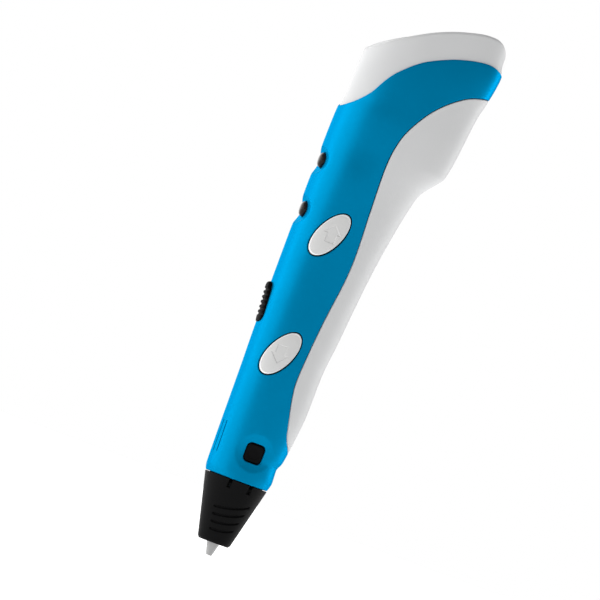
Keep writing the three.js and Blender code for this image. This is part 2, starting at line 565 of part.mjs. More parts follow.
// ---------- nozzle unit ----------
const CONE = { low: 4.2, high: CASE_BOTTOM - GAP, lowRadius: 5.25, highRadius: 10.28, wall: 1.3 };
const coneSlope = (CONE.highRadius - CONE.lowRadius) / (CONE.high - CONE.low);
const coneRadius = (z) => CONE.lowRadius + coneSlope * (z - CONE.low);
const coneShell = turned([
  [2.7, CONE.low], [CONE.lowRadius - 0.4, CONE.low], [coneRadius(CONE.low + 0.6), CONE.low + 0.6],
  [CONE.highRadius, CONE.high], [CONE.highRadius - CONE.wall, CONE.high],
  [coneRadius(CONE.low + 1.4) - CONE.wall, CONE.low + 1.4], [2.7, CONE.low + 1.4],
], 0, 0, 36);
const SLIT = { near: 2.9, far: 3.9, depth: 2.6 };
let cover = coneShell;
for (const side of [-1, 1]) {
  const [x0, x1] = side < 0 ? [-SLIT.far, -SLIT.near] : [SLIT.near, SLIT.far];
  cover = cover.subtract(box(x0, x1, -12, -5, CONE.high - SLIT.depth, CONE.high + 1));
  cover = cover.subtract(box(x0, x1, 5, 12, CONE.high - SLIT.depth, CONE.high + 1));
}
add('nozzle_cover', cover, LOOK.black);
add('nozzle_tip', turned([[0.35, 0], [0.95, 0], [2.1, 4.3], [2.4, 5.2], [2.4, 8.7], [1.05, 8.7],
  [1.05, 3], [0.35, 1.4]], 0, 0, 20), LOOK.ceramic);
add('melt_tube', ring(1.1, 1.9, 9, 38), LOOK.steel);
add('ceramic_heater', ring(2.2, 3.5, 9.3, 19), LOOK.ceramic);
add('heater_sleeve', ring(3.8, 4.5, 9.3, 19), LOOK.fibre);
const frameDisc = ring(2.2, 7.2, 19.4, 22.2, 0, 0, 20);
add('nozzle_frame', frameDisc.add(ring(2.2, 4.1, 22, 38.9, 0, 0, 20)), LOOK.black);
for (const [index, side] of [[1, -1], [2, 1]]) {
  add(`contact_pin_${index}`, rod(0.45, 39.2, 43.6, side * 2.4, side * 2, 12), LOOK.brass);
}
let socket = box(-3.3, 3.3, -5, 5, SOCKET.low, SOCKET.high).subtract(rod(1.4, 30, 60));
for (const side of [-1, 1]) {
  socket = socket.subtract(rod(0.8, 30, 44.2, side * 2.4, side * 2, 12));
}
add('socket_block', socket, LOOK.nylon);

function latch(side) {
  const outward = (near, far) => (side < 0 ? [-far, -near] : [near, far]);
  const arm = box(LATCH.x - LATCH.halfX, LATCH.x + LATCH.halfX,
    ...outward(LATCH.inner, LATCH.outer), LATCH.root, LATCH.top);
  const padShape = roundedSquare(LATCH.x, WINDOW.z, LATCH.halfX, LATCH.padHalfZ, 1.2);
  return arm.add(across(padShape, ...outward(LATCH.inner + 0.5, LATCH.padFace), 2));
}
add('latch_right', latch(-1), LOOK.black);
add('latch_left', latch(1), LOOK.black);

// ---------- wires ----------
const boardEnd = BOARD.back + GAP + 0.5;
for (const [name, shift, look] of [['black', 0, LOOK.black], ['red', 1.6, LOOK.red]]) {
  add(`motor_lead_${name}`, wire(0.5, [[3.4, boardEnd + shift, 127], [6.5, shift - 1.8, 136],
    [16, shift - 3.5, 142], [26.6, shift - 3.6, 145], [27.9, shift, 149.5]]), look);
  add(`power_lead_${name}`, wire(0.5, [[-1, shift - 6.6, 131], [8, shift - 8, 140],
    [15, shift - 8, 152], [19.4, shift - 4, 162], [19.6, shift - 0.8, JACK.foot - GAP]]), look);
  const x = 2 * shift;
  add(`heater_lead_${name}`, wire(0.5, [[x - 2.2, -2.4, 58], [x - 2.6, -2.4, 53],
    [x - 2.6, -2.8, 50], [x - 2.4, -3.2, SOCKET.high + GAP]]), look);
}

export default pen;
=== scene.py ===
"""Looks for the 3-D printing pen: fine curved shells, buttons, slider, lamps and nozzle around the
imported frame, their materials, the studio and the camera. Shapes are worked out in millimetres in
the frame's own axes (+Z up the pen from the tip, -X the front, -Y the side with the buttons)."""
import json
import math

import bpy
import numpy as np
from mathutils import Matrix, Vector
from mathutils.geometry import delaunay_2d_cdt


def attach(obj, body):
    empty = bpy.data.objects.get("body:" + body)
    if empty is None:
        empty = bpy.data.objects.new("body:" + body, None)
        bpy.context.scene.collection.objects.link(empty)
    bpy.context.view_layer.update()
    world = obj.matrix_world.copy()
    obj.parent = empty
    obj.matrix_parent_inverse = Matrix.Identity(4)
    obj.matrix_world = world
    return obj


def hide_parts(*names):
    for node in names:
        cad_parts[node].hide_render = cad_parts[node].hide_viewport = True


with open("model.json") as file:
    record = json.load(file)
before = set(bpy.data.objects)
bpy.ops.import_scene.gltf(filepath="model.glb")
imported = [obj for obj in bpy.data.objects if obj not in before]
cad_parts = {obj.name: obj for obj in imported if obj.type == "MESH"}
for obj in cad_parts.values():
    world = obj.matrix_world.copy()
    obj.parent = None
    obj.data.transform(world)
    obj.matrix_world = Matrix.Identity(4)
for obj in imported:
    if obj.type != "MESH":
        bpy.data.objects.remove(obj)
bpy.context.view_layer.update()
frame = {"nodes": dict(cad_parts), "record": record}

MM = 0.001

# ---------- the casing's form, as in the CAD ----------
# Edges, widths and squareness are (height, value) knots from the bottom up.
FRONT_EDGE = [(25, -10.3), (27.5, -10.85), (60, -11.2), (74, -11.45), (106, -11.45),
              (134, -11.25), (143, -11.05), (147.5, -10.8), (151.5, -10.25), (158, -10.05),
              (166, -9.7), (190, -8.8)]
BACK_EDGE = [(25, 10.2), (28, 11), (32.5, 10.8), (34.6, 11.8), (38, 12.4), (44, 13.15),
             (52, 13.9), (64, 14), (76, 15.2), (100, 17.6), (116, 20.05), (124, 21.6),
             (129, 22.8), (135.3, 27.3), (137, 28.6), (160, 31.9), (163, 32.7), (174.5, 34.5),
             (177, 33.95), (190, 33.7)]
HALF_WIDTH = [(25, 10.2), (60, 11.2), (90, 11.8), (110, 12.6), (130, 14), (150, 15.3),
              (166, 15.5), (190, 14.6)]
WIDEST_AT = [(25, 0), (60, 0.6), (100, 2), (125, 4), (137, 7.5), (160, 9), (190, 10)]
FRONT_SQUARENESS = [(25, 2), (60, 2.2), (190, 2.3)]
BACK_SQUARENESS = [(25, 2), (60, 2.2), (120, 2.3), (140, 3.2), (190, 3.4)]
# Seams and the cap's top are (x, z) knots in the side view.
LOWER_SEAM = [(14, 36.9), (9.6, 42), (7.6, 47.9), (5.7, 55.8), (5.2, 62.7), (6.5, 79.6),
              (8.5, 95.5), (8.8, 105.5), (8, 119.3), (7.4, 133.1), (8.2, 141), (10.4, 147.4),
              (15.3, 155), (21.4, 160.7), (27.7, 164.1), (38.3, 166.4)]
UPPER_SEAM = [(-13, 145.4), (-10.2, 148.3), (-7.8, 150.6), (-4.9, 154.2), (-2.3, 159.1),
              (0.6, 163), (6.1, 167.9), (12.3, 171.3), (18.4, 173.7), (25.9, 175.4), (31, 175.2),
              (38.3, 172.6)]
TOP_LINE = [(-7.4, 169), (-4.1, 171.7), (-0.4, 174.2), (5.5, 177.7), (11.5, 180.5),
            (17.7, 182.6), (23, 183.9), (27, 184.2)]
CASE_BOTTOM = 25.0
CAP_INSET = 0.4
WALL = 1.2

SEAM_GAP = 0.11      # half the gap between the blue and the white pieces
SEAM_EDGE = 0.34     # radius of the moulded edge along the seams
SPLIT_GAP = 0.03     # half the gap between the blue halves
SPLIT_EDGE = 0.1
FOOT_EDGE = 0.5      # radius at the blue halves' lower ends
BITE_EDGE = 0.22     # radius round the lamps' holes and the slider's slot
WINDOW_EDGE, VENT_EDGE, OVAL_EDGE, WELL_EDGE = 0.35, 0.08, 0.3, 0.2      # radii of holes' edges
BLUE_STEP, REAR_STEP, BUTTON_STEP, PAD_STEP = 0.85, 0.9, 0.5, 0.4      # inner points' spacing
FINE_STEP, ARROW_STEP = 0.4, 0.12      # and near a dish or a scoop, and near an arrow
SEAM_STEP, SEAM_SPANS = 0.55, 24      # spacing along a seam, and points drawn between its knots

BUTTON_LONG, BUTTON_SHORT, BUTTON_TILT = 8.4, 4.15, math.radians(25.4)
BUTTON_CLEAR, BUTTON_INSET = 0.2, 0.14      # the hole is larger, and the cap smaller, than the oval
BUTTONS = {"retract": (-1.4, 107.4, 1), "feed": (-2.75, 67.2, -1)}
LAMPS = {"led_upper": 129.4, "led_lower": 112.9}
LAMP_RADIUS, LAMP_CLEAR = 2.6, 0.12
LAMP_DOME = 1.75        # how far a lamp's dome stands out of its scoop
SCOOP_DROP, SCOOP_HALF_Y, SCOOP_HALF_Z, SCOOP_DEPTH = 0.6, 7.4, 4.7, 2.05
WINDOW_Z, WINDOW_X, WINDOW_HALF_X, WINDOW_HALF_Z, WINDOW_CORNER = 34.9, 0.6, 3.25, 3.15, 1.7
SLIDER_LOW, SLIDER_HIGH = 74.35, 87.75
SLIDER_MIDDLE = (SLIDER_LOW + SLIDER_HIGH) / 2
SLOT_HALF_Y, SLOT_HALF_Z = 1.0, 6.4         # the slider's slot in the casing
SCREWS, SCREW_HOLE = [(-5.7, 49), (-5.6, 136.5), (28, 169)], 2.1      # (x, z), radius
VENTS_Y, VENT_HALF, VENT_CORNER = (2.2, 4.3), 0.25, 0.28
VENT_LOW, VENT_HIGH = 31.5, 42.0


def smooth_curve(knots):
    """Smooth curve through (position, value) knots that never overshoots between them."""
    at = np.array([k[0] for k in knots], float)
    value = np.array([k[1] for k in knots], float)
    chord = np.diff(value) / np.diff(at)
    slope = np.zeros(len(at))
    before, after = chord[:-1], chord[1:]
    same = before * after > 0
    slope[1:-1][same] = 2 * before[same] * after[same] / (before[same] + after[same])
    slope[0], slope[-1] = chord[0], chord[-1]

    def curve(x):
        x = np.asarray(x, float)
        i = np.clip(np.searchsorted(at, x, side="right") - 1, 0, len(at) - 2)
        width = at[i + 1] - at[i]
        t = (x - at[i]) / width
        rise = value[i + 1] - value[i]
        bend = width * t * (1 - t) * ((1 - t) * slope[i] - t * slope[i + 1])
        return value[i] + t * t * (3 - 2 * t) * rise + bend
    return curve


front_edge, back_edge = smooth_curve(FRONT_EDGE), smooth_curve(BACK_EDGE)
half_width, widest_at = smooth_curve(HALF_WIDTH), smooth_curve(WIDEST_AT)
front_square, back_square = smooth_curve(FRONT_SQUARENESS), smooth_curve(BACK_SQUARENESS)


def unit(v):
    return v / np.maximum(np.linalg.norm(v, axis=-1, keepdims=True), 1e-12)


def reach_and_power(back, z, grow):
    """From the widest place, how far the section goes to its back or front, and its power."""
    centre = widest_at(z)
    reach = np.where(back, back_edge(z) - centre, centre - front_edge(z)) + grow
    return reach, np.where(back, back_square(z), front_square(z))


def fullness(p, grow=0.0):
    """1 on the casing's surface, less inside it and more outside."""
    x, y, z = p[..., 0], p[..., 1], p[..., 2]
    off = x - widest_at(z)
    reach, power = reach_and_power(off > 0, z, grow)
    return np.abs(off / reach) ** power + np.abs(y / (half_width(z) + grow)) ** power


def casing_normal(p, grow=0.0):
    """Outward unit normals of the casing at points p."""
    step = 0.02
    slope = np.stack([fullness(p + d, grow) - fullness(p - d, grow)
                      for d in step * np.eye(3)], axis=-1)
    return unit(slope)


class Skin:
    """The casing's surface by (s, z): s runs from 0 at the back's middle to 1 at the front's
    middle by length along the section on the -Y side, and from 0 to -1 on the +Y side."""

    LOW, HIGH, STEP = 20.0, 192.0, 0.5      # heights of the sections
    MARKS, TURNS = 321, 1601                # points kept on a half section, and points it is cut from

    def __init__(self, grow=0.0):
        self.grow = grow
        self.rows = np.arange(self.LOW, self.HIGH, self.STEP)
        self.marks = np.linspace(0, 1, self.MARKS)
        turn = np.linspace(0, math.pi, self.TURNS)
        c, s = np.cos(turn), np.sin(turn)
        self.x = np.empty((len(self.rows), len(self.marks)))
        self.y = np.empty_like(self.x)
        self.length = np.empty(len(self.rows))
        for i, z in enumerate(self.rows):
            reach, power = reach_and_power(c >= 0, z, grow)
            x = widest_at(z) + np.sign(c) * reach * np.abs(c) ** (2 / power)
            y = (half_width(z) + grow) * np.abs(s) ** (2 / power)
            run = np.concatenate([[0], np.cumsum(np.hypot(np.diff(x), np.diff(y)))])
            self.length[i] = run[-1]
            self.x[i] = np.interp(self.marks, run / run[-1], x)
            self.y[i] = np.interp(self.marks, run / run[-1], y)

    def _cell(self, z):
        f = np.clip((np.asarray(z, float) - self.rows[0]) / self.STEP, 0, len(self.rows) - 1.001)
        return f.astype(int), f - f.astype(int)

    def at(self, s, z):
        """Points on the surface."""
        s, z = np.broadcast_arrays(np.asarray(s, float), np.asarray(z, float))
        i, t = self._cell(z)
        wrapped = (s + 1) % 2 - 1
        f = np.abs(wrapped) * (len(self.marks) - 1)
        j = np.clip(f.astype(int), 0, len(self.marks) - 2)
        u = f - j

        def read(table):
            low = table[i, j] * (1 - u) + table[i, j + 1] * u
            high = table[i + 1, j] * (1 - u) + table[i + 1, j + 1] * u
            return low * (1 - t) + high * t
        return np.stack([read(self.x), -np.sign(wrapped) * read(self.y), z], axis=-1)

    def normal(self, p):
        return casing_normal(p, self.grow)

    def girth(self, z):
        """Length of half the section."""
        return np.interp(z, self.rows, self.length)

    def _find(self, table, value, z, first):
        """s where a table's row at height z, falling from its mark first(row), has the value."""
        out = []
        for wanted, height in zip(np.atleast_1d(value), np.atleast_1d(z)):
            i, t = self._cell(height)
            row = table[i] * (1 - t) + table[i + 1] * t
            start = first(row)
            out.append(np.interp(wanted, row[start:][::-1], self.marks[start:][::-1]))
        return np.array(out)

    def s_of_x(self, x, z):
        """s on the -Y side where the surface at height z has this x."""
        return self._find(self.x, x, z, lambda row: 0)

    def s_of_y(self, y, z):
        """s on the front where the surface at height z stands this far from the mid plane."""
        return self._find(self.y, y, z, lambda row: int(np.argmax(row)))


SKIN = Skin()


# ---------- dishes and scoops in the blue casing ----------
DISH_RADIUS, DISH_DEPTH = 6.1, 0.55         # round each latch window
SIDE_FROM, SIDE_FADE = 4, 3                 # mm off the middle where dishes and scoops begin
SOFT_DISH, SOFT_SCOOP, SCOOP_POWER = 0.05, 0.06, 0.6
NEAR_DISH, NEAR_SCOOP = 1.1, 0.6            # how far the finer mesh goes beyond each


def soft_cap(q, softness):
    """q where it is well above 0, fading smoothly to 0 below."""
    return 0.5 * (q + np.sqrt(q * q + softness * softness))


def dent(p):
    """How deep the surface is pressed in at points p."""
    x, y, z = p[..., 0], p[..., 1], p[..., 2]
    side = np.clip((np.abs(y) - SIDE_FROM) / SIDE_FADE, 0, 1)
    ring = 1 - ((x - WINDOW_X) ** 2 + (z - WINDOW_Z) ** 2) / DISH_RADIUS ** 2
    deep = DISH_DEPTH * soft_cap(ring, SOFT_DISH) * side
    front = np.clip((-x - SIDE_FROM) / SIDE_FADE, 0, 1)
    for lamp_z in LAMPS.values():
        low = z - lamp_z + SCOOP_DROP
        bowl = 1 - (y / SCOOP_HALF_Y) ** 2 - (low / SCOOP_HALF_Z) ** 2
        deep = deep + SCOOP_DEPTH * soft_cap(bowl, SOFT_SCOOP) ** SCOOP_POWER * front
    return deep


def pressed(depth, step=0.03):
    """A shape that presses surface points in by depth(points) and tilts their normals to suit."""
    def shape(p, normal):
        slope = np.stack([(depth(p + d) - depth(p - d)) / (2 * step)
                          for d in step * np.eye(3)], axis=-1)
        slope -= (slope * normal).sum(-1, keepdims=True) * normal
        return p - normal * depth(p)[..., None], unit(normal + slope)
    return shape


def plain(p, normal):
    return p, normal


# ---------- meshes ----------
def make_object(name, points, faces, normals, material):
    """An object from points in mm, shaded by the normals."""
    mesh = bpy.data.meshes.new(name)
    mesh.from_pydata((np.asarray(points) * MM).tolist(), [], [list(map(int, f)) for f in faces])
    mesh.validate()
    mesh.polygons.foreach_set("use_smooth", [True] * len(mesh.polygons))
    mesh.normals_split_custom_set_from_vertices([tuple(map(float, n)) for n in normals])
    mesh.update()
    piece = bpy.data.objects.new(name, mesh)
    bpy.context.scene.collection.objects.link(piece)
    mesh.materials.append(material)
    return piece


def inside(points, loop):
    """Which of the 2-D points lie inside a closed loop."""
    x, y = points[:, 0], points[:, 1]
    hit = np.zeros(len(points), bool)
    for (x0, y0), (x1, y1) in zip(loop, np.roll(loop, -1, axis=0)):
        if y0 != y1:
            spans = (y0 > y) != (y1 > y)
            hit ^= spans & (x < (x1 - x0) * (y - y0) / (y1 - y0) + x0)
    return hit


def distance_to(points, loops):
    """How far the 2-D points are from the nearest edge of the loops."""
    near = np.full(len(points), 1e9)
    for loop in loops:
        for a, b in zip(loop, np.roll(loop, -1, axis=0)):
            span = b - a
            t = np.clip(((points - a) @ span) / max(span @ span, 1e-12), 0, 1)
            near = np.minimum(near, np.linalg.norm(points - a - t[:, None] * span, axis=1))
    return near


def triangulate(loops, seeds):
    """Counter-clockwise triangles over loops[0] less the other loops, with the seeds as inner
    points. They count the loops' corners first, in order, and then the seeds."""
    edges = []
    start = 0
    for loop in loops:
        n = len(loop)
        edges += [(start + k, start + (k + 1) % n) for k in range(n)]
        start += n
    every = np.concatenate(loops + [seeds])
    got = delaunay_2d_cdt([Vector(p) for p in every], edges, [], 0, 1e-7, True)
    points, faces, origin = got[0], got[2], got[3]
    back = [o[0] if o else -1 for o in origin]
    coordinates = np.array([tuple(p) for p in points])
    middles = np.array([coordinates[list(f)].mean(axis=0) for f in faces])
    keep = inside(middles, loops[0])
    for loop in loops[1:]:
        keep &= ~inside(middles, loop)
    kept = []
    for f, ok in zip(faces, keep):
        if ok and all(back[v] >= 0 for v in f):
            a, b, c = [back[v] for v in f]
            twice_area = np.cross(every[b] - every[a], every[c] - every[a])
            if abs(twice_area) > 1e-9:
                kept.append((a, b, c) if twice_area > 0 else (a, c, b))
    return kept


def outward(skin, loop, shape=plain):
    """Unit directions over the surface, to the right of a closed (s, z) loop's way round."""
    p = skin.at(loop[:, 0], loop[:, 1])
    p, normal = shape(p, skin.normal(p))
    ahead = unit(np.roll(p, -1, axis=0) - p)
    behind = unit(p - np.roll(p, 1, axis=0))
    return unit(np.cross(ahead + behind, normal))


def moved(skin, loop, distance, shape=plain):
    """The loop moved inwards over the surface by a distance in mm (one value or one a corner)."""
    aim = -outward(skin, loop, shape) * np.reshape(distance, (-1, 1))
    s, z = loop[:, 0], loop[:, 1]
    ds, dz = 1e-3, 0.05
    by_s = (skin.at(s + ds, z) - skin.at(s - ds, z)) / (2 * ds)
    by_z = (skin.at(s, z + dz) - skin.at(s, z - dz)) / (2 * dz)
    a11, a12, a22 = (by_s * by_s).sum(1), (by_s * by_z).sum(1), (by_z * by_z).sum(1)
    b1, b2 = (by_s * aim).sum(1), (by_z * aim).sum(1)
    det = a11 * a22 - a12 * a12
    ds = (a22 * b1 - a12 * b2) / det
    dz = (a11 * b2 - a12 * b1) / det
    return loop + np.stack([ds, dz], axis=1)


EDGE_STEPS = 4


def edge_rows(p, normal, out, radius):
    """Rows of points and normals round an edge of this radius, from the surface outwards."""
    radius = np.reshape(radius, (-1, 1))
    for k in range(1, EDGE_STEPS + 1):
        a = math.pi / 2 * k / EDGE_STEPS
        row = p + out * radius * math.sin(a) - normal * radius * (1 - math.cos(a))
        yield row, normal * math.cos(a) + out * math.sin(a)


def seeds_over(skin, loops, spacing, finer):
    """Inner points in rows over the surface, spaced alike in mm, and each one's spacing. finer
    is None, or a function of points giving which are in a patch, and the patch's spacing."""
    wide = np.concatenate(loops)
    s_low, s_high = wide[:, 0].min(), wide[:, 0].max()
    z_low, z_high = wide[:, 1].min(), wide[:, 1].max()

    def rows(step):
        out = []
        for k, z in enumerate(np.arange(z_low + step / 2, z_high, step)):
            count = max(2, int(round(skin.girth(z) * (s_high - s_low) / step)))
            s = s_low + (s_high - s_low) * (np.arange(count) + (0.25 if k % 2 else 0.75)) / count
            out.append(np.stack([s, np.full(count, z)], axis=1))
        return np.concatenate(out)

    grid = rows(spacing)
    if finer is None:
        return grid, np.full(len(grid), spacing)
    test, step = finer
    grid = grid[~test(skin.at(grid[:, 0], grid[:, 1]))]
    patch = rows(step)
    patch = patch[test(skin.at(patch[:, 0], patch[:, 1]))]
    return np.concatenate([grid, patch]), np.repeat([spacing, step], [len(grid), len(patch)])


FLAT = 42.0     # mm that one unit of s stands for while triangulating
CLEAR = 0.4     # inner points keep this share of their spacing from the rims


def flat(loop):
    return np.stack([(1 - loop[:, 0]) * FLAT, loop[:, 1]], axis=1)


def closed_shell(name, p, normal, faces, under, rims, material, mirror=False):
    """A closed thin body: the outer surface, its rims rolled over by their radius, walls, and the
    same faces again underneath. rims holds (indices round it, outward direction, radius)."""
    count = len(p)
    points, normals, all_faces = [p, under], [normal, -normal], list(faces)
    total = 2 * count
    for index, out, radius in rims:
        previous = index
        for row, row_normal in edge_rows(p[index], normal[index], out, radius):
            points.append(row)
            normals.append(row_normal)
            current = np.arange(total, total + len(index))
            total += len(index)
            all_faces += band(previous, current)
            previous = current
        all_faces += band(previous, index + count)
    all_faces += [tuple(v + count for v in reversed(f)) for f in faces]
    points, normals = np.concatenate(points), np.concatenate(normals)
    if mirror:
        points = points * (1, -1, 1)
        normals = normals * (1, -1, 1)
        all_faces = [tuple(reversed(f)) for f in all_faces]
    return make_object(name, points, all_faces, normals, material)


def band(first, second):
    """Quads between two closed rows of points with as many corners."""
    n = len(first)
    return [(first[k], second[k], second[(k + 1) % n], first[(k + 1) % n]) for k in range(n)]


def shell(name, skin, edges, shape, spacing, material, finer=None, mirror=False, wall=WALL):
    """A closed thin shell over the skin. edges holds (true edge as an (s, z) loop, gap, radius);
    the first is the outline, counter-clockwise from outside, and the others are holes, clockwise."""
    inset, outs, radii = [], [], []
    for loop, gap, radius in edges:
        gap = np.broadcast_to(gap, len(loop)).astype(float)
        radius = np.broadcast_to(radius, len(loop)).astype(float)
        inset.append(moved(skin, loop, gap + radius, shape))
        outs.append(outward(skin, loop, shape))
        radii.append(radius)
    seeds, steps = seeds_over(skin, inset, spacing, finer)
    flat_loops = [flat(loop) for loop in inset]
    flat_seeds = flat(seeds)
    fits = inside(flat_seeds, flat_loops[0])
    fits[fits] = distance_to(flat_seeds[fits], flat_loops) > CLEAR * steps[fits]
    for loop in flat_loops[1:]:
        fits &= ~inside(flat_seeds, loop)
    faces = triangulate(flat_loops, flat_seeds[fits])
    domain = np.concatenate(inset + [seeds[fits]])
    p = skin.at(domain[:, 0], domain[:, 1])
    p, normal = shape(p, skin.normal(p))
    under = p - normal * wall
    rims = []
    start = 0
    for out, radius in zip(outs, radii):
        index = np.arange(start, start + len(out))
        out = unit(out - (out * normal[index]).sum(1, keepdims=True) * normal[index])
        under[index] += out * radius[:, None]
        rims.append((index, out, radius))
        start += len(out)
    return closed_shell(name, p, normal, faces, under, rims, material, mirror)


# ---------- lines on the casing ----------
def catmull(knots, per_span):
    """Points of the uniform Catmull-Rom curve through the knots."""
    k = np.array(knots, float)
    padded = np.concatenate([k[:1], k, k[-1:]])
    out = []
    for i in range(len(k) - 1):
        a, b, c, d = padded[i:i + 4]
        for t in np.arange(per_span) / per_span:
            out.append(0.5 * (2 * b + (c - a) * t + (2 * a - 5 * b + 4 * c - d) * t * t
                              + (3 * b - a - 3 * c + d) * t ** 3))
    out.append(k[-1])
    return np.array(out)


def even(points, step):
    """The polyline resampled at about this step."""
    run = np.concatenate([[0], np.cumsum(np.linalg.norm(np.diff(points, axis=0), axis=1))])
    count = max(2, int(round(run[-1] / step)) + 1)
    marks = np.linspace(0, run[-1], count)
    return np.stack([np.interp(marks, run, points[:, k]) for k in range(points.shape[1])], axis=1)


def seam_on_skin(skin, knots, step=SEAM_STEP):
    """A seam drawn in the side view, laid on the -Y side from one edge of the outline to the
    other, as (s, z)."""
    line = catmull(knots, SEAM_SPANS)
    x, z = line[:, 0], line[:, 1]
    within = (x < back_edge(z) + skin.grow) & (x > front_edge(z) - skin.grow)
    first, last = np.flatnonzero(within)[[0, -1]]
    x, z = x[first:last + 1], z[first:last + 1]
    path = np.stack([skin.s_of_x(x, z), z], axis=1)
    ends = [[0.0 if s < 0.5 else 1.0, height] for s, height in (path[0], path[-1])]
    path = np.concatenate([ends[:1], path, ends[1:]])
    return even(path * (FLAT, 1), step) / (FLAT, 1)


def oval_loop(x0, z0, grow, count=96):
    """An oval button's outline in the side view, clockwise, as (s, z)."""
    a = -np.linspace(0, 2 * math.pi, count, endpoint=False)
    u = (BUTTON_SHORT + grow) * np.cos(a)
    v = (BUTTON_LONG + grow) * np.sin(a)
    x = x0 + u * math.cos(BUTTON_TILT) + v * math.sin(BUTTON_TILT)
    z = z0 - u * math.sin(BUTTON_TILT) + v * math.cos(BUTTON_TILT)
    return np.stack([SKIN.s_of_x(x, z), z], axis=1)


def rounded_box(half_x, half_z, corner, step=0.35):
    """A rounded rectangle about the origin, clockwise."""
    points = []
    for sx, sz, start in ((1, -1, 0), (-1, -1, -90), (-1, 1, -180), (1, 1, -270)):
        for a in np.radians(start - np.linspace(0, 90, 9)):
            points.append((sx * (half_x - corner) + corner * math.cos(a),
                           sz * (half_z - corner) + corner * math.sin(a)))
    ring = np.array(points + points[:1])
    return even(ring, step)[:-1]


def window_loop():
    ring = rounded_box(WINDOW_HALF_X, WINDOW_HALF_Z, WINDOW_CORNER) + (WINDOW_X, WINDOW_Z)
    return np.stack([SKIN.s_of_x(ring[:, 0], ring[:, 1]), ring[:, 1]], axis=1)


def screw_loop(x, z):
    a = -np.linspace(0, 2 * math.pi, 40, endpoint=False)
    px, pz = x + SCREW_HOLE * np.cos(a), z + SCREW_HOLE * np.sin(a)
    return np.stack([SKIN.s_of_x(px, pz), pz], axis=1)


def vent_loop(middle):
    ring = rounded_box(VENT_HALF, (VENT_HIGH - VENT_LOW) / 2, VENT_CORNER, 0.2)
    y = middle - ring[:, 0]
    z = ring[:, 1] + (VENT_HIGH + VENT_LOW) / 2
    return np.stack([SKIN.s_of_y(y, z), z], axis=1)


def half_outline():
    """The outline of a blue half with gaps and edge radii, counter-clockwise from outside."""
    lower = seam_on_skin(SKIN, LOWER_SEAM)
    upper = seam_on_skin(SKIN, UPPER_SEAM)[::-1]
    parts = []

    def straight(s, z0, z1, gap, radius, step=1.0):
        count = max(2, int(abs(z1 - z0) / step))
        z = np.linspace(z0, z1, count + 2)[1:-1]
        parts.append((np.stack([np.full(len(z), s), z], axis=1), gap, radius))

    around = np.linspace(1, 0, 48)
    foot = np.stack([around, np.full(len(around), CASE_BOTTOM)], axis=1)
    parts.append((foot, 0.0, FOOT_EDGE))
    straight(0.0, CASE_BOTTOM, lower[0, 1], SPLIT_GAP, SPLIT_EDGE)
    parts.append((lower, SEAM_GAP, SEAM_EDGE))
    straight(0.0, lower[-1, 1], upper[0, 1], SPLIT_GAP, SPLIT_EDGE)
    parts.append((upper, SEAM_GAP, SEAM_EDGE))
    # Down the front, round half of each lamp's hole and of the slider's slot.
    a = np.radians(np.linspace(90, -90, 22))
    reach = LAMP_RADIUS + LAMP_CLEAR
    bites = [np.stack([reach * np.cos(a), lamp_z + reach * np.sin(a)], axis=1)
             for lamp_z in LAMPS.values()]
    top, bottom = SLIDER_MIDDLE + SLOT_HALF_Z, SLIDER_MIDDLE - SLOT_HALF_Z
    slot = [(0, top), (SLOT_HALF_Y, top), (SLOT_HALF_Y, bottom), (0, bottom)]
    bites.append(even(np.array(slot), 0.5))
    z_now = upper[-1, 1]
    for ring in bites:
        straight(1.0, z_now, ring[0, 1], SPLIT_GAP, SPLIT_EDGE)
        s = SKIN.s_of_y(np.maximum(ring[:, 0], 1e-4), ring[:, 1])
        parts.append((np.stack([s, ring[:, 1]], axis=1), 0.0, BITE_EDGE))
        z_now = ring[-1, 1]
    straight(1.0, z_now, CASE_BOTTOM, SPLIT_GAP, SPLIT_EDGE)
    loop = np.concatenate([p for p, _, _ in parts])
    gap = np.concatenate([np.full(len(p), g) for p, g, _ in parts])
    radius = np.concatenate([np.full(len(p), r) for p, _, r in parts])
    return loop, gap, radius


def near_features(p):
    """Points of the casing near a dish or a scoop."""
    x, y, z = p[..., 0], p[..., 1], p[..., 2]
    near = (x - WINDOW_X) ** 2 + (z - WINDOW_Z) ** 2 < (DISH_RADIUS + NEAR_DISH) ** 2
    near &= np.abs(y) > SIDE_FROM
    for lamp_z in LAMPS.values():
        reach = (y / (SCOOP_HALF_Y + NEAR_SCOOP)) ** 2
        reach = reach + ((z - lamp_z + SCOOP_DROP) / (SCOOP_HALF_Z + NEAR_SCOOP)) ** 2
        near |= (reach < 1) & (x < -5)
    return near


# ---------- materials ----------
MOTTLE_SCALE = 90.0                  # the colour mottle's noise, per metre
COLOR_A, COLOR_B, COLOR_OUT = 6, 7, 2      # a colour Mix node's sockets


def node(tree, kind, **settings):
    made = tree.nodes.new(kind)
    for key, value in settings.items():
        if key in made.inputs:
            made.inputs[key].default_value = value
        else:
            setattr(made, key, value)
    return made


def link(source, output, target, socket):
    source.id_data.links.new(source.outputs[output], target.inputs[socket])


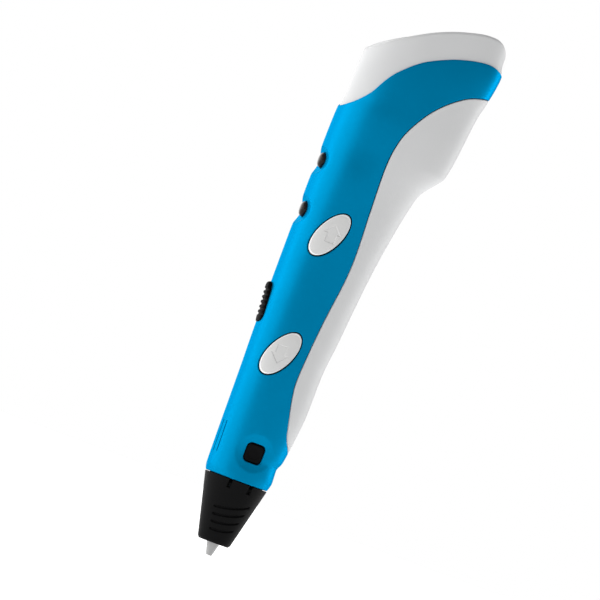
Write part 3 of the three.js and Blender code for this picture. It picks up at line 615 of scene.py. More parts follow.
def moulded(name, color, roughness, grain=1800.0, grain_height=0.00002, mottle=0.05, coat=0.0,
            metallic=0.0, rough_spread=0.06, specular=0.5, tint=(1, 1, 1)):
    """Moulded plastic or metal: faint colour mottle, uneven gloss and a fine surface grain."""
    material = bpy.data.materials.new(name)
    material.use_nodes = True
    tree = material.node_tree
    shader = tree.nodes["Principled BSDF"]
    for socket, value in (("Metallic", metallic), ("Coat Weight", coat),
                          ("Specular IOR Level", specular), ("Specular Tint", (*tint, 1))):
        shader.inputs[socket].default_value = value
    place = node(tree, "ShaderNodeTexCoord")
    broad = node(tree, "ShaderNodeTexNoise", Scale=MOTTLE_SCALE, Detail=2.0)
    fine = node(tree, "ShaderNodeTexNoise", Scale=grain, Detail=3.0)
    for texture in (broad, fine):
        link(place, "Object", texture, "Vector")
    blend = node(tree, "ShaderNodeMix", data_type="RGBA")
    dark = [c * (1 - mottle) for c in color]
    light = [min(1.0, c * (1 + mottle)) for c in color]
    blend.inputs[COLOR_A].default_value = (*dark, 1)
    blend.inputs[COLOR_B].default_value = (*light, 1)
    link(broad, "Fac", blend, "Factor")
    link(blend, COLOR_OUT, shader, "Base Color")
    gloss = node(tree, "ShaderNodeMapRange")
    gloss.inputs["To Min"].default_value = roughness - rough_spread
    gloss.inputs["To Max"].default_value = roughness + rough_spread
    link(fine, "Fac", gloss, "Value")
    link(gloss, "Result", shader, "Roughness")
    bump = node(tree, "ShaderNodeBump")
    bump.inputs["Strength"].default_value = 1.0
    bump.inputs["Distance"].default_value = grain_height
    link(fine, "Fac", bump, "Height")
    link(bump, "Normal", shader, "Normal")
    return material


BLUE = moulded("blue_satin", (0.0, 0.228, 0.452), 0.45, metallic=0.88, specular=0.0,
               tint=(0.0, 0.72, 1.0))
WHITE = moulded("white_satin", (0.655, 0.659, 0.663), 0.42, mottle=0.015, specular=0.12)
# The second colour is a painted highlight: a lighter colour round each button's face that stands in
# for light caught by its rounded rim.
BUTTON_FACE, BUTTON_RIM_HIGHLIGHT = (0.665, 0.665, 0.66), (0.95, 0.95, 0.95)
RIM_HIGHLIGHT_FADE = (0.905, 0.93)       # shares of the oval's size where the face colour turns into the painted rim highlight
BUTTON_PLASTIC = dict(color=BUTTON_FACE, roughness=0.34, mottle=0.015, specular=0.4)
BUTTON = moulded("button_white", **BUTTON_PLASTIC)
BLACK = moulded("nozzle_black", (0.005, 0.005, 0.0052), 0.55, grain=1400, grain_height=0.00003,
                specular=0.05)
LENS = moulded("smoky_lens", (0.010, 0.007, 0.006), 0.12, mottle=0.2, rough_spread=0.02,
               grain_height=0.000002, specular=0.2)
SLIDER_BLACK = moulded("slider_black", (0.002, 0.002, 0.002), 0.6, grain=1400, specular=0.03)
TIP = moulded("nozzle_grey", (0.41, 0.41, 0.41), 0.38, grain=2600, mottle=0.03)
CERAMIC = moulded("white_ceramic", (0.52, 0.52, 0.51), 0.5, grain=2600, mottle=0.04)
STEEL = moulded("plated_steel", (0.55, 0.55, 0.57), 0.3, metallic=1.0)
BRASS = moulded("turned_brass", (0.70, 0.50, 0.22), 0.3, metallic=1.0)
BOARD = moulded("solder_mask", (0.01, 0.12, 0.04), 0.3, coat=0.4)
PACKAGE = moulded("package_black", (0.02, 0.02, 0.021), 0.55)
NYLON = moulded("natural_nylon", (0.62, 0.58, 0.48), 0.45)
FIBRE = moulded("glass_fibre", (0.68, 0.64, 0.54), 0.85, grain=900, grain_height=0.0002)
BLACK_LEAD = moulded("black_lead", (0.015, 0.015, 0.015), 0.4)
RED_LEAD = moulded("red_lead", (0.4, 0.012, 0.012), 0.4)
BY_SLOT = {
    "blue_plastic": BLUE, "white_plastic": WHITE, "button_plastic": BUTTON,
    "black_plastic": BLACK, "lamp_lens": LENS, "ceramic": CERAMIC, "circuit_board": BOARD,
    "component_black": PACKAGE, "bare_steel": STEEL, "gear_brass": BRASS,
    "natural_nylon": NYLON, "glass_fibre": FIBRE, "black_insulation": BLACK_LEAD,
    "red_insulation": RED_LEAD,
}


def rim_highlighted(name, x0, z0):
    """A button's plastic with a painted highlight: the rim round its face is coloured lighter than
    the face, standing in for light caught by the rounded edge.
    """
    material = moulded(name, **BUTTON_PLASTIC)
    tree = material.node_tree
    shader = tree.nodes["Principled BSDF"]
    face = shader.inputs["Base Color"].links[0].from_socket
    place = node(tree, "ShaderNodeTexCoord")
    fit = node(tree, "ShaderNodeMapping", vector_type="TEXTURE",
               Location=(x0 * MM, 0, z0 * MM), Rotation=(0, BUTTON_TILT, 0),
               Scale=(BUTTON_SHORT * MM, 1.0, BUTTON_LONG * MM))
    flat_only = node(tree, "ShaderNodeVectorMath", operation="MULTIPLY")
    flat_only.inputs[1].default_value = (1, 0, 1)
    reach = node(tree, "ShaderNodeVectorMath", operation="LENGTH")
    ring = node(tree, "ShaderNodeMapRange")
    ring.inputs["From Min"].default_value, ring.inputs["From Max"].default_value = RIM_HIGHLIGHT_FADE
    # Mixes the painted rim highlight over the face colour.
    rim_highlight = node(tree, "ShaderNodeMix", data_type="RGBA")
    rim_highlight.inputs[COLOR_B].default_value = (*BUTTON_RIM_HIGHLIGHT, 1)
    link(place, "Object", fit, "Vector")
    link(fit, "Vector", flat_only, 0)
    link(flat_only, "Vector", reach, 0)
    link(reach, "Value", ring, "Value")
    link(ring, "Result", rim_highlight, "Factor")
    tree.links.new(face, rim_highlight.inputs[COLOR_A])
    link(rim_highlight, COLOR_OUT, shader, "Base Color")
    return material


def dress_cad_nodes():
    """Gives every CAD node the material of its slot."""
    slot_of = {row["node"]: row["material_slot"] for row in frame["record"]["subparts"]}
    for name, piece in frame["nodes"].items():
        piece.data.materials.clear()
        piece.data.materials.append(BY_SLOT[slot_of[name]])


def settle(piece, body, slot, *nodes):
    """The piece rides on its body and stands for its nodes, which are hidden. Its slot is not used.
    """
    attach(piece, body)
    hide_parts(*nodes)


dress_cad_nodes()


# ---------- turned pieces ----------
AXES = {"+Z": ((1, 0, 0), (0, 1, 0), (0, 0, 1)), "-X": ((0, 0, 1), (0, 1, 0), (-1, 0, 0)),
        "+Y": ((0, 0, 1), (1, 0, 0), (0, 1, 0))}


def softened(corners, steps):
    """A closed outline (r, h), counter-clockwise, with each corner (r, h, radius) rounded.
    Returns its points and outward normals."""
    points, normals = [], []
    count = len(corners)
    for k, corner in enumerate(corners):
        here = np.array(corner[:2], float)
        radius = corner[2] if len(corner) > 2 else 0.0
        before = here - np.array(corners[k - 1][:2], float)
        after = np.array(corners[(k + 1) % count][:2], float) - here
        n0, n1 = [unit(np.array([d[1], -d[0]])) for d in (before, after)]
        if here[0] < 1e-9:      # on the axis
            points.append(here)
            normals.append(np.array([0.0, math.copysign(1, (n0 if after[0] == 0 else n1)[1])]))
            continue
        if radius == 0:
            points.append(here)
            normals.append(unit(n0 + n1))
            continue
        turn = math.atan2(n0[0] * n1[1] - n0[1] * n1[0], n0 @ n1)
        side = math.copysign(1, turn)
        centre = here - side * (n0 + n1) * radius / (1 + n0 @ n1)
        start = math.atan2(n0[1], n0[0])
        for i in range(steps + 1):
            a = start + turn * i / steps
            n = np.array([math.cos(a), math.sin(a)])
            points.append(centre + side * radius * n)
            normals.append(n)
    return np.array(points), np.array(normals)


def turned(name, corners, material, origin=(0, 0, 0), axis="+Z", sides=64, shape=plain,
           angles=None, steps=4):
    """A solid of revolution about an axis through the origin point."""
    e1, e2, e3 = (np.array(e, float) for e in AXES[axis])
    outline, facing = softened(corners, steps)
    if angles is None:
        angles = np.linspace(0, 2 * math.pi, sides, endpoint=False)
    around = np.cos(angles)[:, None] * e1 + np.sin(angles)[:, None] * e2
    points, normals, rows = [], [], []
    total = 0
    for (r, h), (nr, nh) in zip(outline, facing):
        ring = around if r > 1e-9 else around[:1] * 0
        points.append(np.array(origin, float) + ring * r + e3 * h)
        normals.append(np.broadcast_to(around[:len(ring)] * nr + e3 * nh, ring.shape))
        rows.append(np.arange(total, total + len(ring)))
        total += len(ring)
    faces = []
    for k, row in enumerate(rows):
        following = rows[(k + 1) % len(rows)]
        for j in range(len(angles)):
            i = (j + 1) % len(angles)
            corner = []
            for v in (row[j % len(row)], row[i % len(row)], following[i % len(following)],
                      following[j % len(following)]):
                if v not in corner:
                    corner.append(v)
            if len(corner) > 2:
                faces.append(corner)
    p, n = shape(np.concatenate(points), np.concatenate(normals))
    return make_object(name, p, faces, n, material)


# ---------- blue halves and white rear cover ----------
def blue_halves():
    loop, gap, radius = half_outline()
    common = [(loop, gap, radius), (window_loop(), 0.0, WINDOW_EDGE)]
    common += [(vent_loop(y), 0.0, VENT_EDGE) for y in VENTS_Y]
    ovals = [(oval_loop(x, z, BUTTON_CLEAR), 0.0, OVAL_EDGE) for x, z, _ in BUTTONS.values()]
    wells = [(screw_loop(x, z), 0.0, WELL_EDGE) for x, z in SCREWS]
    for side, holes, mirror in (("right", ovals, False), ("left", wells, True)):
        piece = shell(f"{side}_casing", SKIN, common + holes, pressed(dent), BLUE_STEP, BLUE,
                      (near_features, FINE_STEP), mirror)
        settle(piece, "casing", "blue_plastic", f"shell_{side}")


WELL_LOW, WELL_SEAT, WELL_SUNK = 4.6, 5.5, 0.35      # y, y and mm below the skin
SHANK_HOLE, WELL_HOLE, WELL_OUTER = 0.95, 2.15, 2.9      # radii


def screw_wells():
    """The sleeves that the screw heads sit in, from the +Y half's skin down to the seats."""
    for number, (x, z) in enumerate(SCREWS, 1):
        s = SKIN.s_of_x([x], [z])[0]
        rim = -SKIN.at(s, z)[1] - WELL_SUNK

        def follow(p, normal):
            near = SKIN.at(SKIN.s_of_x(p[:, 0], p[:, 2]), p[:, 2])
            top = p[:, 1] > rim - 1.5
            p = p.copy()
            p[top, 1] += (-near[top, 1] - WELL_SUNK) - rim
            return p, normal
        corners = [(SHANK_HOLE, WELL_LOW, 0.1), (WELL_OUTER, WELL_LOW, 0.1),
                   (WELL_OUTER, rim, 0.1), (WELL_HOLE, rim, 0.1),
                   (WELL_HOLE, WELL_SEAT, 0.15), (SHANK_HOLE, WELL_SEAT, 0.1)]
        piece = turned(f"screw_well_{number}", corners, BLUE, (x, 0, z), "+Y", 40, follow)
        settle(piece, "casing", "blue_plastic")


def rear_cover():
    half = seam_on_skin(SKIN, LOWER_SEAM)
    other = half * (-1, 1)
    loop = np.concatenate([other, half[::-1][1:-1]])
    piece = shell("rear_cover", SKIN, [(loop, SEAM_GAP, SEAM_EDGE)], plain, REAR_STEP, WHITE)
    settle(piece, "casing", "white_plastic", "back_cover")


# ---------- white end cap ----------
CAP_EDGE = 1.1          # radius round the top
CAP_WALL = 0.95
CAP_FOOT_EDGE = 0.3     # radius along the seam
CAP_STEP, CAP_GRID = 0.5, 0.8      # spacing along the rim, and of the top's inner points
NOSE_FROM = -5.5        # x; nearer the front the rim is placed by y
JACK_AT, INLET_AT = 20.0, 0.0
CAP_HOLES = [(JACK_AT, 4.1), (INLET_AT, 2.8)]      # x and radius
HOLE_EDGE, HOLE_DEEP = 0.35, 1.6


def bezier(points, t):
    """The Bezier curve with these control points, at t."""
    rows = [np.asarray(p, float) for p in points]
    while len(rows) > 1:
        rows = [a * (1 - t) + b * t for a, b in zip(rows, rows[1:])]
    return rows[0]


class TopLine:
    """The cap's top in the side view, by length from low on the back to low on the front."""

    def __init__(self):
        front = TOP_LINE[0]
        back = bezier([(34, 176.5), (33.4, 180.8), (31, 183.9), TOP_LINE[-1]],
                      np.linspace(0, 1, 60)[:, None])
        middle = catmull(TOP_LINE[::-1], 12)
        nose = bezier([front, (-9.6, front[1] - 1.8), (-10.6, front[1] - 4.5)],
                      np.linspace(0, 1, 30)[:, None])
        line = even(np.concatenate([back[:-1], middle[:-1], nose]), 0.12)
        for _ in range(12):
            line[1:-1] = 0.25 * line[:-2] + 0.5 * line[1:-1] + 0.25 * line[2:]
        self.line = line
        steps = np.linalg.norm(np.diff(line, axis=0), axis=1)
        self.run = np.concatenate([[0], np.cumsum(steps)])
        slope = np.gradient(line, self.run, axis=0)
        self.up = unit(np.stack([slope[:, 1], -slope[:, 0]], axis=1))

    def at(self, tau, y):
        x = np.interp(tau, self.run, self.line[:, 0])
        z = np.interp(tau, self.run, self.line[:, 1])
        return np.stack([x, np.broadcast_to(y, np.shape(x)), z], axis=-1)

    def normal(self, tau):
        x = np.interp(tau, self.run, self.up[:, 0])
        z = np.interp(tau, self.run, self.up[:, 1])
        return unit(np.stack([x, np.zeros_like(x), z], axis=-1))

    def tau_of_x(self, x):
        """Where the top, between its two corners, has this x."""
        turn = int(np.argmax(self.line[:, 0]))
        return np.interp(x, self.line[turn:, 0][::-1], self.run[turn:][::-1])


def cap_rim(skin, top):
    """The sharp meeting of the cap's side and top on the -Y side, from back to front: (tau, y)."""
    p = top.at(top.run, 0.0)
    z = p[:, 2]
    off = p[:, 0] - widest_at(z)
    reach, power = reach_and_power(off > 0, z, skin.grow)
    left = 1 - np.abs(off / reach) ** power
    within = np.flatnonzero(left > 0)
    tau = top.run[within]
    y = (half_width(z[within]) + skin.grow) * left[within] ** (1 / power[within])
    ends = np.array([[2 * tau[0] - tau[1], 0.0]]), np.array([[2 * tau[-1] - tau[-2], 0.0]])
    return np.concatenate([ends[0], np.stack([tau, -y], axis=1), ends[1]])


def cap_columns(skin, top):
    """Round the cap from back to -Y, front and +Y: the rim as (tau, y), its points, its s on the
    skin, the turns to add to s so that it only grows, and how far the rounding reaches."""
    half = even(cap_rim(skin, top), CAP_STEP)
    front = len(half) - 1
    rim = np.concatenate([half, (half * (1, -1))[::-1][1:-1]])
    corner = top.at(rim[:, 0], rim[:, 1])
    side = np.where(rim[:, 1] > 0, -1, 1)
    s = skin.s_of_x(corner[:, 0], corner[:, 2]) * side
    nose = corner[:, 0] < NOSE_FROM
    s[nose] = skin.s_of_y(np.abs(rim[nose, 1]), corner[nose, 2]) * side[nose]
    s[0], s[front] = 0.0, 1.0
    wrap = np.where(np.arange(len(rim)) > front, 2, 0)
    side_normal = skin.normal(skin.at(s, corner[:, 2]))
    bend = np.arccos(np.clip((side_normal * top.normal(rim[:, 0])).sum(1), -1, 1))
    return rim, corner, s, wrap, CAP_EDGE * np.tan(bend / 2)


def cap_side(skin, corner, s, wrap, reach):
    """The loop along the seam, and rows of points and normals from there up the cap's side."""
    seam = seam_on_skin(skin, UPPER_SEAM, 0.4)
    order = np.argsort(seam[:, 0])
    seam_z = np.interp(np.abs(s), seam[order, 0], seam[order, 1])
    closed = np.stack([s + wrap, seam_z], axis=1)
    base = moved(skin, closed, SEAM_GAP + CAP_FOOT_EDGE)
    slant = np.abs(np.gradient(corner[:, 2])) / CAP_STEP
    high_z = corner[:, 2] - reach * np.sqrt(1 + np.minimum(slant, 1.5) ** 2)
    high_z = np.maximum(high_z, base[:, 1] + 0.05)
    rows = []
    for t in np.linspace(0, 1, 22):
        p = skin.at(base[:, 0] * (1 - t) + (s + wrap) * t, base[:, 1] * (1 - t) + high_z * t)
        rows.append((p, skin.normal(p)))
    return closed, rows


def cap_edge(top, corner, lip, start, start_normal):
    """Rows of points and normals round the edge, from the side to the lip on the top."""
    end, end_normal = top.at(lip[:, 0], lip[:, 1]), top.normal(lip[:, 0])
    pull = [start, start + (corner - start) * 0.55, end + (corner - end) * 0.55, end]
    return [(bezier(pull, t), unit(start_normal * (1 - t) + end_normal * t))
            for t in (0.2, 0.4, 0.6, 0.8)]


def cap_top(top, lip):
    """The top's holes, inner points and faces, all in (tau, y)."""
    holes = []
    a = np.linspace(0, 2 * math.pi, 56, endpoint=False)
    for at, radius in CAP_HOLES:
        ring = (radius + HOLE_EDGE) * np.stack([np.cos(a), np.sin(a)], axis=1)
        holes.append(np.stack([top.tau_of_x(at + ring[:, 0]), ring[:, 1]], axis=1))
    tau = np.arange(lip[:, 0].min(), lip[:, 0].max(), CAP_GRID)
    grid = np.stack(np.meshgrid(tau, np.arange(-16, 16, CAP_GRID)), axis=-1).reshape(-1, 2)
    grid[:, 1] += np.where((grid[:, 0] / CAP_GRID).astype(int) % 2, CAP_GRID / 2, 0)
    fits = inside(grid, lip)
    for hole in holes:
        fits &= ~inside(grid, hole)
    fits[fits] = distance_to(grid[fits], [lip] + holes) > 0.3
    loops = [lip] + holes
    return holes, np.concatenate(loops + [grid[fits]]), triangulate(loops, grid[fits])


def end_cap():
    """The white cap: rows up its side from the seam, a rounded edge, and a top with two holes."""
    skin, top = Skin(-CAP_INSET), TopLine()
    rim, corner, s, wrap, reach = cap_columns(skin, top)
    closed, rows = cap_side(skin, corner, s, wrap, reach)
    lip = rim + flat_inward(rim) * reach[:, None]
    rows += cap_edge(top, corner, lip, *rows[-1])
    holes, domain, top_faces = cap_top(top, lip)
    n = len(rim)
    base_count = n * len(rows)
    p = np.concatenate([row for row, _ in rows] + [top.at(domain[:, 0], domain[:, 1])])
    normal = np.concatenate([facing for _, facing in rows] + [top.normal(domain[:, 0])])
    faces = []
    for k in range(len(rows)):
        first = np.arange(k * n, (k + 1) * n)
        faces += [tuple(reversed(f)) for f in band(first, first + n)]
    faces += [tuple(v + base_count for v in f) for f in top_faces]
    under = p - normal * CAP_WALL
    seam_out = outward(skin, closed)
    rims = [(np.arange(n), seam_out, np.full(n, CAP_FOOT_EDGE))]
    under[:n] += seam_out * CAP_FOOT_EDGE
    start_at = base_count + n
    for hole, (at, _) in zip(holes, CAP_HOLES):
        index = np.arange(start_at, start_at + len(hole))
        out = unit(np.array([at, 0, 0]) - p[index] * (1, 1, 0))
        out = unit(out - (out * normal[index]).sum(1, keepdims=True) * normal[index])
        under[index] = p[index] + out * HOLE_EDGE - (0, 0, HOLE_DEEP)
        rims.append((index, out, np.full(len(hole), HOLE_EDGE)))
        start_at += len(hole)
    faces = facing_out(p, normal, faces)
    piece = closed_shell("end_cap_shell", p, normal, faces, under, rims, WHITE)
    settle(piece, "casing", "white_plastic", "end_cap")


def area(loop):
    following = np.roll(loop, -1, axis=0)
    return 0.5 * float(np.sum(loop[:, 0] * following[:, 1] - following[:, 0] * loop[:, 1]))


def flat_inward(loop):
    """Unit directions into a closed 2-D loop at its corners."""
    along = unit(unit(np.roll(loop, -1, axis=0) - loop) + unit(loop - np.roll(loop, 1, axis=0)))
    inward = np.stack([-along[:, 1], along[:, 0]], axis=1)
    return inward if area(loop) > 0 else -inward


def facing_out(p, normal, faces):
    """The faces, each turned to agree with the normals of its corners."""
    out = []
    for f in faces:
        corners = p[list(f)]
        cross = np.cross(corners[1] - corners[0], corners[-1] - corners[0])
        out.append(tuple(f) if cross @ normal[list(f)].sum(0) >= 0 else tuple(reversed(f)))
    return out


# ---------- buttons ----------
BUTTON_PROUD, BUTTON_DOME = 0.4, 0.25
BUTTON_EDGE, BUTTON_WALL = 0.5, 1.3
ARROW_HEAD, ARROW_SHAFT = (5.4, 3.0), (3.0, 2.9)       # width and length of each, in mm
ARROW_AT = {"retract": (0.45, 0.55), "feed": (-0.3, -0.35)}      # from the button's centre
ARROW_DEPTH, ARROW_WALL = 0.2, 0.2


def arrow_corners(x0, z0, aim):
    """An arrow's outline in the side view, its tip towards +Z for aim 1 and -Z for aim -1."""
    half_head, half_shaft = ARROW_HEAD[0] / 2, ARROW_SHAFT[0] / 2
    tip = (ARROW_HEAD[1] + ARROW_SHAFT[1]) / 2
    neck, tail = tip - ARROW_HEAD[1], -tip
    drawn = [(0, tip), (half_head, neck), (half_shaft, neck), (half_shaft, tail),
             (-half_shaft, tail), (-half_shaft, neck), (-half_head, neck)]
    return np.array([(x0 + x, z0 + aim * z) for x, z in drawn])


def sunk_depth(corners, wall, depth):
    """Depth of a flat recess with sloped walls inside an outline in the side view."""
    def at(p):
        flat_p = p[..., [0, 2]].reshape(-1, 2)
        near = distance_to(flat_p, [corners])
        signed = np.where(inside(flat_p, corners), near, -near)
        ramp = np.clip(signed / wall + 0.5, 0, 1)
        return (depth * ramp * ramp * (3 - 2 * ramp)).reshape(p.shape[:-1])
    return at


def buttons():
    raised = Skin(BUTTON_PROUD)
    for name, (x0, z0, aim) in BUTTONS.items():
        ax, az = ARROW_AT[name]
        arrow = sunk_depth(arrow_corners(x0 + ax, z0 + az, aim), ARROW_WALL, ARROW_DEPTH)

        def dome(p):
            """The face falls away a little towards the rim."""
            x, z = p[..., 0] - x0, p[..., 2] - z0
            u = x * math.cos(BUTTON_TILT) - z * math.sin(BUTTON_TILT)
            v = x * math.sin(BUTTON_TILT) + z * math.cos(BUTTON_TILT)
            return BUTTON_DOME * ((u / BUTTON_SHORT) ** 2 + (v / BUTTON_LONG) ** 2) ** 2

        def near_arrow(p):
            return (np.abs(p[..., 0] - x0 - ax) < 3.1) & (np.abs(p[..., 2] - z0 - az) < 3.3)

        loop = oval_loop(x0, z0, -BUTTON_INSET)[::-1]
        # Each cap's material paints a highlight round the rim of its face.
        piece = shell(f"{name}_button_cap", raised, [(loop, 0.0, BUTTON_EDGE)],
                      pressed(lambda p: arrow(p) + dome(p)), BUTTON_STEP,
                      rim_highlighted(f"{name}_button_white", x0, z0), (near_arrow, ARROW_STEP),
                      wall=BUTTON_WALL)
        settle(piece, f"{name}_key", "button_plastic", f"{name}_button")


# ---------- latch pads ----------
class FlatSkin:
    """A plane facing -Y, with the same (s, z) as the casing's skin."""

    grow = 0.0

    def __init__(self, y):
        self.y = y

    def at(self, s, z):
        s, z = np.broadcast_arrays(np.asarray(s, float), np.asarray(z, float))
        return np.stack([(1 - s) * FLAT, np.full(s.shape, self.y), z], axis=-1)

    def normal(self, p):
        return np.broadcast_to((0.0, -1.0, 0.0), p.shape)

    def girth(self, z):
        return FLAT


PAD_FACE, PAD_EDGE, PAD_WALL = -9.2, 0.45, 1.4
PAD_HALF_X, PAD_HALF_Z, PAD_CORNER = 3.0, 2.9, 1.45
DISH_HALF_X, DISH_HALF_Z, PAD_DISH = 2.3, 2.2, 0.45      # the thumb dish in each pad


def latch_dish(p):
    ring = 1 - ((p[..., 0] - WINDOW_X) / DISH_HALF_X) ** 2
    ring = ring - ((p[..., 2] - WINDOW_Z) / DISH_HALF_Z) ** 2
    return PAD_DISH * soft_cap(ring, SOFT_DISH)


def latches():
    ring = rounded_box(PAD_HALF_X, PAD_HALF_Z, PAD_CORNER)[::-1] + (WINDOW_X, WINDOW_Z)
    loop = np.stack([1 - ring[:, 0] / FLAT, ring[:, 1]], axis=1)
    for side, mirror in (("right", False), ("left", True)):
        pad = shell(f"latch_pad_{side}", FlatSkin(PAD_FACE), [(loop, 0.0, PAD_EDGE)],
                    pressed(latch_dish), PAD_STEP, BLACK, mirror=mirror, wall=PAD_WALL)
        settle(pad, f"latch_{side}", "black_plastic")


# ---------- slider ----------
SLIDER_HALF_Z = (SLIDER_HIGH - SLIDER_LOW) / 2
SLIDER_WIDE, SLIDER_NARROW = 4.45, 2.75      # half width near the bottom and near the top
SLIDER_THIN, SLIDER_THICK = 0.26, 1.3        # how proud it stands at the bottom and the top
SLIDER_RIBS, RIB_PITCH, FIRST_RIB, RIB_DEPTH = 7, 1.58, 76.2, 0.42
RIB_HALF, RIB_SLOPE = 0.3, 0.5      # a rib's flat top and its flanks, as shares of half a pitch
LEAST = 0.12                        # how much of the slider is left under the deepest groove
SIDE_ROUND, END_ROUND, PLAN_ROUND = 12, 10, 6      # powers: the higher, the tighter the corner
SLIDER_CLEAR = 0.12
STEM_HALF_Y, STEM_HALF_Z, STEM_LONG = 0.8, 1.7, 4.0
STEM_MIDDLE = 81.3            # clears both the casing's slot and the potentiometer's


def casing_front(y, z):
    """x of the casing's front surface."""
    centre, power = widest_at(z), front_square(z)
    share = np.clip(1 - np.abs(y / half_width(z)) ** power, 0, 1)
    return centre - (centre - front_edge(z)) * share ** (1 / power)


def slider_half_y(z):
    q = (z - SLIDER_MIDDLE) / SLIDER_HALF_Z
    even_width = SLIDER_WIDE + (SLIDER_NARROW - SLIDER_WIDE) * (q + 1) / 2
    return even_width * np.clip(1 - np.abs(q) ** PLAN_ROUND, 1e-4, 1) ** (1 / 2.2)


def slider_face(y, z):
    """x of the slider's ribbed face, with edges that fall away all round."""
    q = (z - SLIDER_MIDDLE) / SLIDER_HALF_Z
    u = np.clip(np.abs(y) / slider_half_y(z), 0, 1)
    proud = SLIDER_THIN + (SLIDER_THICK - SLIDER_THIN) * (q + 1) / 2
    edge = np.clip(1 - u ** SIDE_ROUND, 0, 1) ** (1 / 2.2)
    edge = edge * np.clip(1 - np.abs(q) ** END_ROUND, 0, 1) ** (1 / 2.2)
    turn = (z - FIRST_RIB) / RIB_PITCH
    between = np.abs(turn - np.round(turn)) * 2
    cut = np.clip((between - RIB_HALF) / RIB_SLOPE, 0, 1)
    cut = cut * cut * (3 - 2 * cut) * ((turn > 0) & (turn < SLIDER_RIBS - 1))
    cut = cut * np.clip((0.985 - u) / 0.07, 0, 1)
    left = np.maximum(proud * edge - RIB_DEPTH * cut, LEAST * edge)
    return casing_front(y, z) - SLIDER_CLEAR - left


def slider_back(y, z):
    """x of the slider's underside, with the stem that goes in through the slot."""
    stem = np.clip((STEM_HALF_Y - np.abs(y)) / 0.2 + 0.5, 0, 1)
    stem = stem * np.clip((STEM_HALF_Z - np.abs(z - STEM_MIDDLE)) / 0.2 + 0.5, 0, 1)
    return casing_front(y, z) - SLIDER_CLEAR + STEM_LONG * stem


def slider():
    """A ribbed thumb slider that follows the casing: thicker at its top, wider at its bottom."""
    across = np.sin(np.linspace(-math.pi / 2, math.pi / 2, 40))
    along = np.concatenate([-np.cos(np.linspace(0, 0.5, 12)), np.linspace(-0.87, 0.87, 220),
                            np.cos(np.linspace(0.5, 0, 12))])
    u, z = np.meshgrid(across, SLIDER_MIDDLE + along * SLIDER_HALF_Z)
    y = u * slider_half_y(z)
    points, normals, step = [], [], 0.02
    for form, way in ((slider_face, -1), (slider_back, 1)):
        slope_y = (form(y + step, z) - form(y - step, z)) / (2 * step)
        slope_z = (form(y, z + step) - form(y, z - step)) / (2 * step)
        points.append(np.stack([form(y, z), y, z], axis=-1).reshape(-1, 3))
        facing = np.stack([np.ones_like(y), -slope_y, -slope_z], axis=-1).reshape(-1, 3)
        normals.append(unit(facing) * way)
    index = np.arange(y.size).reshape(y.shape)
    faces = []
    for i, j in np.ndindex(y.shape[0] - 1, y.shape[1] - 1):
        quad = (index[i, j], index[i + 1, j], index[i + 1, j + 1], index[i, j + 1])
        faces += [quad, tuple(q + y.size for q in reversed(quad))]
    edge = np.concatenate([index[0, :], index[1:, -1], index[-1, -2::-1], index[-2:0:-1, 0]])
    faces += band(edge, edge + y.size)
    piece = make_object("slider_knob", np.concatenate(points), faces, np.concatenate(normals),
                        SLIDER_BLACK)
    settle(piece, "speed_knob", "black_plastic", "speed_slider")


# ---------- lamps, power socket, filament inlet ----------
LAMP_SUNK, LAMP_LONG = 0.2, 6.8        # the dome's foot below the skin, and the body behind it
SOCKET_FACE, SOCKET_FLOOR, SOCKET_FOOT = 181.6, 171.0, 168.0      # heights
SOCKET_HOLE, SOCKET_MOUTH, SOCKET_OUTER = 1.2, 2.9, 3.9           # radii
PIN_FOOT, PIN_TOP, PIN_RADIUS = 171.3, 180.0, 1.0
INLET_FACE, INLET_FOOT = 171.8, 164.5
INLET_BORE, INLET_MOUTH, INLET_OUTER = 1.2, 1.9, 2.6


def lamps():
    dome = [(LAMP_RADIUS * math.sin(a) ** 0.7, LAMP_DOME * math.cos(a) ** 0.8)
            for a in np.linspace(math.pi / 2, 0, 16)[:-1]]
    for name, z in LAMPS.items():
        shoulder = float(front_edge(z)) + LAMP_SUNK + LAMP_DOME
        root = shoulder + LAMP_LONG
        corners = [(0, root), (LAMP_RADIUS, root, 0.1)] + dome + [(0, LAMP_DOME)]
        piece = turned(f"{name}_dome", corners, LENS, (shoulder, 0, z), "-X", 48)
        settle(piece, "casing", "lamp_lens", name)


def power_socket():
    corners = [(SOCKET_HOLE, SOCKET_FOOT, 0.1), (SOCKET_OUTER, SOCKET_FOOT, 0.1),
               (SOCKET_OUTER, SOCKET_FACE, 0.35), (SOCKET_MOUTH, SOCKET_FACE, 0.5),
               (SOCKET_MOUTH, SOCKET_FLOOR, 0.1), (SOCKET_HOLE, SOCKET_FLOOR, 0.1)]
    piece = turned("power_socket", corners, PACKAGE, (JACK_AT, 0, 0))
    settle(piece, "casing", "component_black", "power_jack")
    corners = [(0, PIN_FOOT), (PIN_RADIUS, PIN_FOOT, 0.05), (PIN_RADIUS, PIN_TOP, 0.45),
               (0, PIN_TOP)]
    piece = turned("power_socket_pin", corners, BRASS, (JACK_AT, 0, 0), sides=32)
    settle(piece, "casing", "gear_brass", "power_jack_pin")


def filament_mouth():
    corners = [(INLET_BORE, INLET_FOOT, 0.1), (INLET_OUTER, INLET_FOOT, 0.1),
               (INLET_OUTER, INLET_FACE, 0.25), (INLET_MOUTH, INLET_FACE, 0.2),
               (INLET_BORE, INLET_FACE - 1, 0.3)]
    piece = turned("filament_mouth", corners, PACKAGE, (INLET_AT, 0, 0), sides=48)
    settle(piece, "casing", "component_black", "filament_inlet")


